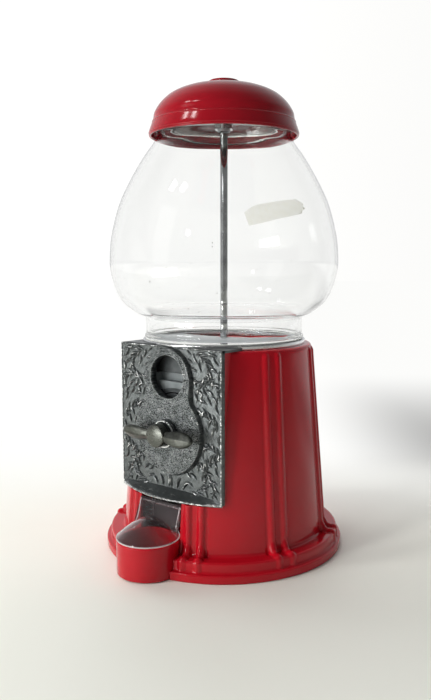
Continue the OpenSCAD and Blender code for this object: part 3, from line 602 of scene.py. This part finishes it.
def plate_relief(x, z):
    """Height in front of the plate's ground, and how worn or dirty each spot is, with painted glints on the
    crests and painted highlights on the pebbles.
    """
    out = pear(x, z)
    panel = np.clip(-out / 0.7 + 0.5, 0, 1)
    panel = panel * panel * (3 - 2 * panel)
    moat = np.exp(-((out - 0.65) / 0.38) ** 2)
    side = np.minimum(np.minimum(PLATE_HALF - np.abs(x), PLATE_TOP - z), z - PLATE_LOW)
    broken = pebbles(x, z, 2.4)
    lip = np.clip((1.1 + 0.5 * broken - side) / 0.4, 0, 1) * np.clip(side / 0.5 + 0.3, 0, 1)
    leaves, hollow, crest = foliage(x, z)
    inside = np.clip((out - 1.0) / 1.0, 0, 1) * np.clip((side - 1.4) / 1.0, 0, 1)
    leaves, hollow = leaves * inside, hollow * inside
    veins = 0.5 + 0.5 * np.sin(x * 2.3 + 1.7 * np.sin(z * 0.45)) * np.sin(z * 1.9 + 1.3 * np.sin(x * 0.6))
    ground = veins * (1 - np.clip(leaves * 3, 0, 1))
    grains = pebbles(x, z, 1.15)
    hole = np.hypot(x, z - COIN_Z) - COIN_R
    rim = np.exp(-((hole - 0.6) / 0.45) ** 2)
    height = (1 - panel) * (leaves * 1.7 + 0.13 * ground - 0.3 * hollow - 0.5 * moat
                            + lip * (0.7 + 0.3 * broken))
    height = height + panel * (PROUD - 0.3 + 0.3 * grains * np.clip(hole / 0.8, 0, 1)) + 0.2 * rim
    # painted glints: bright marks painted along the crests here and there
    painted_glint = crest * inside * np.clip(pebbles(x, z, 7.5) * 1.5 - 0.35, 0, 1)
    wear_and_glint = (1 - panel) * (0.36 + 0.12 * ground + 0.1 * np.clip(leaves * 2, 0, 1) + 0.6 * painted_glint
                          + 0.6 * lip * broken - 0.3 * moat - 0.22 * hollow)
    # the pebbles' bright tops are partly rubbed metal and partly painted highlight
    wear_and_glint = wear_and_glint + panel * (0.04 + 1.08 * grains ** 3.4) + 0.25 * rim
    edge = np.exp(-((out + 0.3) / 0.3) ** 2)
    return height, np.clip(wear_and_glint + 0.25 * edge, 0, 1)


def paint_relief(ob, values):
    """Stores each point's tone, from 0 to 1, for the antique finishes: its wear, and on the plate and visor
    also painted highlights and painted shade.
    """
    a = ob.data.attributes.new("relief", "FLOAT", "POINT")
    a.data.foreach_set("value", np.asarray(values, np.float32))


def points_of(ob):
    """The mesh's points in millimetres."""
    co = np.zeros(len(ob.data.vertices) * 3)
    ob.data.vertices.foreach_get("co", co)
    return co.reshape(-1, 3) / MM


def build_plate():
    """The casting's front as a fine grid of heights, closed by a flat back."""
    step = 0.33
    xs = np.linspace(-PLATE_HALF, PLATE_HALF, int(2 * PLATE_HALF / step))
    zs = np.linspace(PLATE_LOW, PLATE_TOP, int((PLATE_TOP - PLATE_LOW) / step))
    gz, gx = [k.ravel() for k in np.meshgrid(zs, xs, indexing="ij")]
    height, _ = plate_relief(gx, gz)
    front = np.stack([gx, -(PLATE_Y + height), gz], 1)
    nz, nx = len(zs), len(xs)
    rim = ([(0, j) for j in range(nx)] + [(i, nx - 1) for i in range(1, nz)]
           + [(nz - 1, j) for j in range(nx - 2, -1, -1)] + [(i, 0) for i in range(nz - 2, 0, -1)])
    ring = [i * nx + j for i, j in rim]
    back = front[ring].copy()
    back[:, 1] = -SEAT_FRONT - 0.05
    n = len(front)
    m = len(ring)
    faces = grid(nz, nx) + [(ring[k], ring[(k + 1) % m], n + (k + 1) % m, n + k) for k in range(m)]
    faces.append(tuple(range(n, n + m))[::-1])
    ob = piece("face_plate_casting", np.vstack([front, back]), faces, pewter, "cabinet", "pewter",
               ("face_plate",), sharp=60)
    carve(ob, rod_y(0, COIN_Z, 90, 50, COIN_R, 160))
    carve(ob, rod_y(0, SHAFT_Z, 90, 50, 10.4, 96))
    p = points_of(ob)
    _, wear_and_glint = plate_relief(p[:, 0], p[:, 2])
    wear_and_glint[p[:, 1] > -PLATE_Y + 0.2] = 0.25
    paint_relief(ob, wear_and_glint)


build_plate()

# visor under the plate: it slopes out to a bright arched edge
VISOR = 14.0
ARC_R = (PLATE_HALF ** 2 + VISOR ** 2) / (2 * VISOR)


def reach(x):
    """How far the visor stands out at x: a flat arc over the plate's width."""
    return np.sqrt(np.maximum(ARC_R ** 2 - x ** 2, 0)) - (ARC_R - VISOR)


def build_visor():
    """Sections across the visor, each at a share of its reach and its heights at the middle and the ends."""
    sections = ((0, 59.6, 57.2), (0.25, 58.0, 56.6), (0.5, 56.9, 56.1), (0.75, 56.1, 55.8),
                (0.93, 55.7, 55.65), (1.0, 55.2, 55.3), (1.0, 54.1, 54.2), (0.93, 53.7, 53.8), (0, 53.7, 53.8))
    # the last two rows, on the visor's underside, are painted darker: painted shade under the visor
    section_wear_and_shade = [0.64, 0.66, 0.68, 0.68, 0.74, 0.92, 0.75, 0.3, 0.2]
    xs = np.linspace(-PLATE_HALF, PLATE_HALF, 121)
    rows = []
    rough = 0.12 * np.sin(xs * 1.7) * np.sin(xs * 0.43 + 1)
    for share, z_mid, z_end in sections:
        body = np.cos(xs / PLATE_HALF * np.pi / 2) ** 0.6
        out = reach(xs) * share + 0.6
        wander = rough * (share > 0.9)
        front = -(PLATE_Y - 0.6 + out)
        rows.append(np.stack([xs, front + wander, z_end + (z_mid - z_end) * body + wander], 1))
    v = np.array(rows)
    n, m = len(rows), len(xs)
    faces = grid(n, m, wrap_rows=True)
    faces += [tuple(i * m for i in range(n)), tuple(i * m + m - 1 for i in range(n))[::-1]]
    ob = piece("face_plate_visor", v.reshape(-1, 3), faces, pewter, "cabinet", "pewter", (), sharp=40)
    paint_relief(ob, np.repeat(section_wear_and_shade, m))
    # the bright edge is broken into worn lengths of uneven thickness
    edge = np.stack([xs, -(PLATE_Y + reach(xs) - 0.15) + rough, 54.75 + rough], 1)
    for k, (start, end) in enumerate([(3, 20), (23, 38), (40, 71), (74, 84), (88, 117)]):
        piece(f"visor_edge_{k}", *tube(edge[start:end], 0.5 + 0.08 * (k % 3), 8), bright_edge, "cabinet",
              "pewter")


build_visor()

# top flange, cut back round the seat ring
flange = piece("face_plate_flange", *block((-PLATE_HALF, -68.2, 169.55), (PLATE_HALF, -44, PLATE_TOP)),
               pewter, "cabinet", "pewter")
carve(flange, rod(0, 0, 160, 180, 67.9, 160))
shade(flange)
paint_relief(flange, np.full(len(flange.data.vertices), 0.55))


# ---------------------------------------------------------------- handle

WING_Y = 83.2            # how far in front of the axis the wings' middle plane is

bush = np.vstack([
    [[4.3, 69.5], [10.3, 69.5], [10.3, 72.4]], arc(10.3, 73.0, 0.7, -60, 90, 5),
    [[10.9, 74.6], [10.2, 75.0], [10.0, 75.9], [9.2, 76.2], [9.0, 78.4], [4.3, 78.4]]])
piece("handle_bushing_collar", *lathe(bush, 96, "y", (0, SHAFT_Z)), dark_metal, "cabinet", "zinc",
      ("handle_bushing",))
piece("bushing_bright_ring", *lathe(arc(10.1, 76.3, 0.75, 0, 330, 10), 96, "y", (0, SHAFT_Z)), bright_edge,
      "cabinet", "zinc")


def build_handle():
    """A hub with two twisted wings, joined into one casting."""
    hub = np.vstack([[[0.01, 78.9], [8.3, 78.9], [9.0, 79.6], [9.0, 84.8]], arc(7.6, 84.9, 1.4, 0, 80, 6),
                     [[5.0, 86.7], [2.5, 86.95], [0.01, 87.0]]])
    parts = [lathe(hub, 96, "y", (0, SHAFT_Z))]
    # distance from the hub's middle, half height and depth along a wing
    table = np.array([(3, 4.0, 1.6), (7, 3.7, 1.9), (11, 4.4, 2.3), (16, 5.5, 2.8), (21, 6.1, 3.0),
                      (26, 6.0, 2.8), (30, 5.1, 2.4), (33, 3.6, 1.9), (34.8, 2.0, 1.3), (35.5, 0.7, 0.6)])
    curve = smooth_path(table, 5)
    a = np.linspace(0, 2 * np.pi, 40, endpoint=False)
    for side in (-1, 1):
        rows = []
        for x, tall, deep in curve:
            z = tall * np.cos(a) * (1 - 0.12 * np.sin(a) ** 2)
            front = deep * np.clip(np.sin(a), 0, 1) ** 0.85
            crest = 0.55 * np.exp(-(z / (0.25 * tall + 0.3)) ** 2) * (np.sin(a) > 0) * min(1, tall / 5)
            back = 1.5 * np.clip(-np.sin(a), 0, 1) ** 0.7 * min(1, tall / 3)
            tilt = math.radians(21) * min(1, (x - 3) / 10)
            y = -(front + crest - back)
            zz = z * math.cos(tilt) - y * math.sin(tilt) * side
            yy = -WING_Y + y * math.cos(tilt) + z * math.sin(tilt) * side
            rows.append(np.stack([np.full(len(a), side * x), yy, SHAFT_Z + zz], 1))
        n = len(rows)
        faces = grid(n, len(a), wrap_cols=True)
        faces += [tuple(range(len(a)))[::-1], tuple(range((n - 1) * len(a), n * len(a)))]
        parts.append((np.vstack(rows), faces))
    ob = piece("handle_wings", *parts[1], worn_nickel, "turn_handle", "pewter", ("handle",))
    carve(ob, parts[2], "UNION")
    carve(ob, parts[0], "UNION")
    # the notch in the hub's lower edge
    carve(ob, block((6.2, -90, SHAFT_Z - 9.5), (8.0, -84.6, SHAFT_Z - 5.4)))
    shade(ob, 38)
    p = points_of(ob)
    wing = np.clip((np.abs(p[:, 0]) - 8) / 3, 0, 1)
    paint_relief(ob, np.clip(0.3 + (-p[:, 1] - 80) * 0.045 - 0.3 * wing, 0, 1))


build_handle()


# ---------------------------------------------------------------- chute door

FLAP_HINGE_Y, FLAP_TOP_Z, FLAP_RIM_Z, FLAP_APEX_Z, FLAP_HALF = 79.8, 52.0, 27.6, 42.8, 20.6


def flap_height(x, y):
    """Height of the clear door: a dome over the cup that runs up into a sloping sheet at the hinge."""
    dy = y + 92.5
    far = np.where(dy > 0, 21.5, 25.8)
    t = np.clip(np.hypot(x / 24.3, dy / far), 0, 1)
    t = np.sqrt(t * t + 0.006) / math.sqrt(1.006)
    dome = FLAP_RIM_Z + (FLAP_APEX_Z - FLAP_RIM_Z) * (0.62 * (1 - t * t) + 0.38 * (1 - t))
    sheet = FLAP_TOP_Z - (-FLAP_HINGE_Y - y) * 3.25
    return smax(dome, sheet, 2.2)


def build_flap():
    """The door as one sheet of even thickness, with a pale wire along its edge that paints the highlight on
    its rim.
    """
    tip = CUP_Y + 24.25 - np.array([0.7, 0.3, 0.1, 0.01])
    ys = -np.concatenate([np.linspace(FLAP_HINGE_Y, 87, 22), np.linspace(87.7, 117, 44), tip])
    us = np.linspace(-1, 1, 61)
    chord = np.sqrt(np.maximum(24.2 ** 2 - (ys + CUP_Y) ** 2, 0.01))
    half = np.where(ys > -CUP_Y, np.maximum(chord, FLAP_HALF), chord)
    x = half[:, None] * us
    y = ys[:, None] + 0 * us
    z = flap_height(x, y)
    v = np.stack([x, y, z], -1).reshape(-1, 3)
    ob = piece("chute_flap_dome", v, grid(len(ys), len(us)), clear, "flap", "clear_plastic", ("chute_door",),
               sharp=60)
    mod = ob.modifiers.new("thick", "SOLIDIFY")
    mod.thickness, mod.offset = 1.1 * MM, 0
    apply_modifiers(ob)
    shade(ob, 60)
    ob.visible_shadow = False
    a = np.radians(np.linspace(-62, 242, 70))
    rim = np.stack([24.0 * np.cos(a), -CUP_Y - 24.0 * np.sin(a), np.full(len(a), FLAP_RIM_Z)], 1)
    edge_x, edge_y = np.full(8, FLAP_HALF - 0.4), np.linspace(-80.2, -84.6, 8)
    right = np.stack([edge_x, edge_y, flap_height(edge_x, edge_y)], 1)
    # the rim's ends are left out, where the edge runs up to the hinge
    path = smooth_path(np.vstack([right, rim[2:60], right[::-1] * [-1, 1, 1]]), 2)
    wire = piece("chute_flap_rim", *tube(path, 0.5, 8), painted_highlight_edge, "flap", "clear_plastic")
    wire.visible_shadow = False


build_flap()


# ---------------------------------------------------------------- globe

globe_curve = smooth_path([
    (65, 179), (65, 188), (66.6, 191.6), (74, 195.3), (84.2, 204), (90.4, 216.5), (93.5, 229), (93.9, 240),
    (92, 258), (85.5, 282), (76.5, 301), (66.6, 318), (58.6, 329.3), (54.8, 336), (54.6, 339.5)], 7)
globe_profile = np.vstack([
    arc(64.8, 175.6, 1.6, -90, 80, 6), globe_curve, arc(54.6, 342, 2, -60, 90, 6), [[51.8, 344]],
    beside(globe_curve, -2.8)[::-1], [[61.9, 174]]])
globe = piece("glass_globe_shell", *lathe(globe_profile, 256), glass, "cabinet", "glass", ("glass_globe",),
              sharp=70)
globe.visible_shadow = False


def globe_point(azimuth, z, lift=0.15):
    """A point just off the outside of the glass, at degrees round from the front."""
    r = float(np.interp(z, globe_curve[:, 1], globe_curve[:, 0])) + lift
    a = math.radians(azimuth)
    return np.array([r * math.sin(a), -r * math.cos(a), z])


def build_tape():
    """A torn remnant of half-inch tape stuck to the glass."""
    low_edge = [(49.2, 261.2), (56, 263.6), (63, 266.4), (69.5, 268.4), (75.5, 270.4)]
    high_edge = [(47.2, 270.6), (52, 275.2), (58.5, 277.6), (67, 279.8), (75.5, 281.4)]
    low, high = smooth_path(low_edge, 12), smooth_path(high_edge, 12)
    n, m = len(low), 13
    k = np.arange(n)
    ragged = 0.35 * np.sin(k * 1.9) * np.sin(k * 0.7)
    rows_out, rows_in = [], []
    for j in range(m):
        s = j / (m - 1)
        end = 4.6 * math.sin(s * math.pi) ** 0.8 + 0.9 * math.sin(s * 19)
        line = low * (1 - s) + high * s
        line = line + np.stack([end * (k / (n - 1)) ** 6, ragged * (s - 0.5)], 1)
        wave = 0.1 * np.sin(k * 0.8 + j)
        rows_out.append([globe_point(a, z, 0.42 + w) for (a, z), w in zip(line, wave)])
        rows_in.append([globe_point(a, z, 0.08) for a, z in line])
    v = np.array(rows_out + rows_in[::-1]).reshape(-1, 3)
    faces = grid(2 * m, n, wrap_rows=True)
    faces += [tuple(i * n for i in range(2 * m)), tuple(i * n + n - 1 for i in range(2 * m))[::-1]]
    piece("tape_remnant", v, faces, tape, "cabinet", "glass", sharp=60)


build_tape()


def build_specks():
    """Dust and dried drips on the glass: small irregular flakes, most of them low on the globe."""
    rng = np.random.default_rng(7)
    verts, faces = [], []
    sides = 7
    for _ in range(70):
        az = rng.uniform(0, 360)
        z = 189 + 100 * rng.beta(0.9, 2.6)
        size = rng.uniform(0.12, 0.34) * (1.6 if rng.random() < 0.12 else 1)
        c = globe_point(az, z, 0.05)
        out = Vector((c[0], c[1], 0)).normalized()
        right = Vector((-out.y, out.x, 0))
        up = out.cross(right)
        base = len(verts)
        turn = rng.uniform(0, 6.28)
        long = rng.uniform(1, 2.0)
        for i in range(sides):
            a = turn + 2 * math.pi * i / sides
            d = size * rng.uniform(0.7, 1.2)
            p = Vector(c) + right * (math.cos(a) * d) + up * (math.sin(a) * d * long)
            verts.append(p)
        verts.append(Vector(c) + out * 0.22)
        verts.append(Vector(c) - out * 0.1)
        for i in range(sides):
            faces.append((base + i, base + (i + 1) % sides, base + sides))
            faces.append((base + (i + 1) % sides, base + i, base + sides + 1))
    piece("glass_dust_specks", [tuple(v) for v in verts], faces, dust, "cabinet", "glass", sharp=180)


build_specks()

# seat ring, gasket
ring_profile = np.vstack([
    [[61.9, 170.8], [66.2, 170.8], [66.2, 169.6], [67.3, 169.6]], arc(67.0, 172.4, 0.7, 0, 90, 5),
    arc(62.6, 172.5, 0.7, 90, 180, 4)])
piece("seat_ring_turned", *lathe(ring_profile, 224), bright_tin, "cabinet", "zinc", ("globe_seat_ring",))
gasket_profile = np.vstack([arc(65.4, 173.62, 0.42, -90, 90, 5), arc(62.2, 173.62, 0.42, 90, 270, 5)])
piece("gasket_band", *lathe(gasket_profile, 224), rubber, "cabinet", "rubber", ("globe_gasket",))

# rod
rod_profile = [[0.01, 0.5], [2.6, 0.5], [3.15, 1.2], [3.15, 200], [3.15, 372.6], [2.5, 374], [0.01, 374]]
piece("center_rod_chromed", *lathe(rod_profile, 48), chrome, "cabinet", "chrome", ("center_rod",))


# ---------------------------------------------------------------- lid

lid_top = smooth_path([
    (61.2, 338.9), (60.5, 341.3), (59.1, 345.2), (58.35, 347.2), (58.5, 347.75), (57.85, 348.5),
    (57.3, 350.6), (56.3, 355.1), (52.3, 361.5), (46.2, 367.4), (40.6, 370.8), (36.4, 372.6), (29.5, 374.9),
    (21, 376.5), (13, 377.0), (6.6, 377.0)], 6)
lid_profile = np.vstack([
    arc(60.0, 337.6, 1.0, -170, 30, 8), [[61.0, 338.6]], lid_top, beside(lid_top, -1.3)[::-1][:-4],
    [[58.9, 340.2], [58.9, 338]]])
piece("lid_dome", *lathe(lid_profile, 256), lid_painted_shade_enamel, "lid_body", "red_enamel", ("lid",), sharp=45)
liner_profile = np.vstack([
    [[4.7, 344.1], [12, 344.1]], arc(26, 344.3, 1.0, -150, -30, 4),
    [[38, 344.05], [40, 344.4], [54, 344.1], [56.4, 344.3], [56.4, 345.1], [4.7, 345.1]]])
liner_profile[:, 1] = np.clip(liner_profile[:, 1], 344.02, 345.2)
piece("lid_liner_disc", *lathe(liner_profile, 192), liner_metal, "lid_body", "chrome", ("lid_liner",))
knob_profile = np.vstack([
    [[3.25, 345.5], [4.5, 345.5], [4.5, 377.05], [11.8, 377.05]], arc(11.6, 378.2, 1.2, -70, 0, 4),
    arc(11.4, 379.6, 1.4, 0, 85, 6), [[7.2, 381], [6.5, 380.2], [0.01, 379.9], [0.01, 374.6], [3.25, 374.6]]])
knob = piece("lid_knob_turned", *lathe(knob_profile, 96), lid_painted_shade_enamel, "knob", "red_enamel", ("lid_knob",))
# the key slot in the knob's top
carve(knob, block((-5.6, -0.8, 378.9), (5.6, 0.8, 384)), solver="EXACT")
shade(knob)
sleeve_profile = [[4.55, 339.5], [5.2, 339.5], [5.2, 344.0], [4.55, 344.0]]
piece("stem_collar", *lathe(sleeve_profile, 48), grey_plastic, "knob", "steel")


# ---------------------------------------------------------------- stage, light and camera

# level directions as the camera sees them
RIGHT, AWAY = (0.788, 0.616, 0.0), (-0.616, 0.788, 0.0)


def along(tree, source, direction, low, high, at_low, at_high):
    """A smooth ramp from at_low to at_high as the source vector moves along a direction."""
    dot = tree.nodes.new("ShaderNodeVectorMath")
    dot.operation = "DOT_PRODUCT"
    dot.inputs[1].default_value = direction
    tree.links.new(source, dot.inputs[0])
    n = spread(tree, dot.outputs["Value"], at_low, at_high, low, high)
    n.node.interpolation_type = "SMOOTHSTEP"
    return n


def times(tree, a, b):
    """The product of two values."""
    n = tree.nodes.new("ShaderNodeMath")
    n.operation = "MULTIPLY"
    tree.links.new(a, n.inputs[0])
    tree.links.new(b, n.inputs[1])
    return n.outputs[0]


def build_floor():
    """White paper that melts into the backdrop a little way behind the machine."""
    m, tree, p = new_material("pale_paper")
    link = tree.links.new
    tones = [(0.3, (0.86, 0.865, 0.785)), (0.7, (0.89, 0.895, 0.82))]
    link(ramp(tree, noise(tree, 5, 3), tones), p.inputs["Base Color"])
    link(spread(tree, noise(tree, 9, 2), 0.55, 0.7), p.inputs["Roughness"])
    bump(tree, p, noise(tree, 700, 3), 0.05, 0.0003)
    where = tree.nodes.new("ShaderNodeTexCoord").outputs["Object"]
    # the far floor glows like the backdrop; a painted shadow dims it behind the machine on its right, where
    # its shadow falls
    far = along(tree, where, AWAY, 0.0, 0.32, 0.0, 1.0)
    shade_right = along(tree, where, RIGHT, 0.11, 0.31, 0.0, 0.55)
    shade_start = along(tree, where, AWAY, 0.10, 0.26, 0.0, 1.0)
    shade_end = along(tree, where, AWAY, 0.28, 0.95, 1.0, 0.08)
    painted_shadow = times(tree, times(tree, shade_right, shade_start), shade_end)
    glow = add(tree, "ShaderNodeEmission", Color=(1.0, 1.0, 0.985, 1))
    brightest = 1.02
    link(spread(tree, painted_shadow, brightest, 0.0, 0.0, brightest), glow.inputs["Strength"])
    mix = tree.nodes.new("ShaderNodeMixShader")
    link(far, mix.inputs["Fac"])
    link(p.outputs[0], mix.inputs[1])
    link(glow.outputs[0], mix.inputs[2])
    link(mix.outputs[0], tree.nodes["Material Output"].inputs["Surface"])
    a = np.linspace(0, 2 * np.pi, 128, endpoint=False)
    radii = [0.01, 200, 500, 1200, 3000, 9000]
    v = np.array([[r * math.cos(t), r * math.sin(t), 0.0] for r in radii for t in a])
    piece("floor", v, grid(len(radii), len(a), wrap_cols=True), m)


build_floor()


def area_light(name, right, away, up, size, power, colour=(1, 1, 1), glossy=False, diffuse=True):
    """A soft light that faces the globe's foot, by metres to the right of, behind and above the machine.

    A glossy light shows in reflections and through the glass.
    """
    data = bpy.data.lights.new(name, "AREA")
    data.shape = "RECTANGLE"
    data.size, data.size_y = size
    data.energy = power
    data.color = colour
    ob = bpy.data.objects.new(name, data)
    ob.location = Vector(RIGHT) * right + Vector(AWAY) * away + Vector((0, 0, up))
    ob.rotation_euler = (Vector((0, 0, 0.18)) - ob.location).to_track_quat("-Z", "Y").to_euler()
    ob.visible_camera = False
    ob.visible_glossy = glossy
    ob.visible_transmission = glossy
    ob.visible_diffuse = diffuse
    scene.collection.objects.link(ob)


WINDOW = (-1.33, -0.70, 0.62)
for k, shift in enumerate((-0.13, 0.13)):
    area_light(f"window_pane_{k}", WINDOW[0] + shift, WINDOW[1] - 1.9 * shift, WINDOW[2], (0.25, 1.0), 9.6,
               (1.0, 0.995, 0.98))
    area_light(f"high_pane_{k}", -0.95 + 0.75 * shift, -0.46 - 0.9 * shift, 1.4, (0.12, 0.18), 1.6,
               glossy=True)
area_light("window_haze", *WINDOW, (0.5, 1.0), 1.0, glossy=True, diffuse=False)
area_light("window_gap", *WINDOW, (0.10, 0.8), 4.5, glossy=True, diffuse=False)
area_light("back_window", 0.0, 1.1, 1.0, (1.2, 0.8), 6)
area_light("back_left_window", -1.0, 0.75, 0.8, (0.7, 0.7), 6)
area_light("front_fill", -0.5, -1.3, 0.9, (0.7, 0.7), 0.5)
area_light("small_window", -0.777, -1.107, 0.75, (0.08, 0.12), 1.2, glossy=True)
area_light("left_card", -0.55, -0.35, 0.06, (0.30, 0.10), 1.0, glossy=True, diffuse=False)

world = bpy.data.worlds.new("studio")
scene.world = world
world.use_nodes = True
wt = world.node_tree
toward = wt.nodes.new("ShaderNodeTexCoord").outputs["Generated"]
light_path = wt.nodes.new("ShaderNodeLightPath")
# what lights the machine: dim in front of it and overhead, white behind it and to the left
back = wt.nodes["Background"]
back.inputs["Color"].default_value = (0.97, 0.98, 1.0, 1)
wt.links.new(along(wt, toward, AWAY, -0.25, 0.85, 0.13, 0.7), back.inputs["Strength"])
# what is seen behind it and through the glass, where bent rays reach the dim room
seen = add(wt, "ShaderNodeBackground", Color=(1.0, 0.998, 0.985, 1))
across = along(wt, toward, RIGHT, -0.30, 0.36, 1.10, 0.965)
ahead = along(wt, toward, AWAY, 0.35, 0.78, 0.2, 1.0)
wt.links.new(times(wt, across, ahead), seen.inputs["Strength"])
either = wt.nodes.new("ShaderNodeMath")
either.operation = "MAXIMUM"
wt.links.new(light_path.outputs["Is Camera Ray"], either.inputs[0])
wt.links.new(light_path.outputs["Is Transmission Ray"], either.inputs[1])
mix = wt.nodes.new("ShaderNodeMixShader")
wt.links.new(either.outputs[0], mix.inputs["Fac"])
wt.links.new(back.outputs[0], mix.inputs[1])
wt.links.new(seen.outputs[0], mix.inputs[2])
wt.links.new(mix.outputs[0], wt.nodes["World Output"].inputs["Surface"])

cam_data = bpy.data.cameras.new("camera")
cam_data.lens = 37.31
cam_data.sensor_width = 36
cam_data.shift_x = -0.0121
cam = bpy.data.objects.new("camera", cam_data)
cam.location = (0.37465, -0.47912, 0.23528)
VIEW_DOWN, VIEW_TURN = 6.86, 38.02
cam.rotation_euler = (math.radians(90 - VIEW_DOWN), 0, math.radians(VIEW_TURN))
scene.collection.objects.link(cam)
scene.camera = cam
scene.view_settings.view_transform = "Standard"
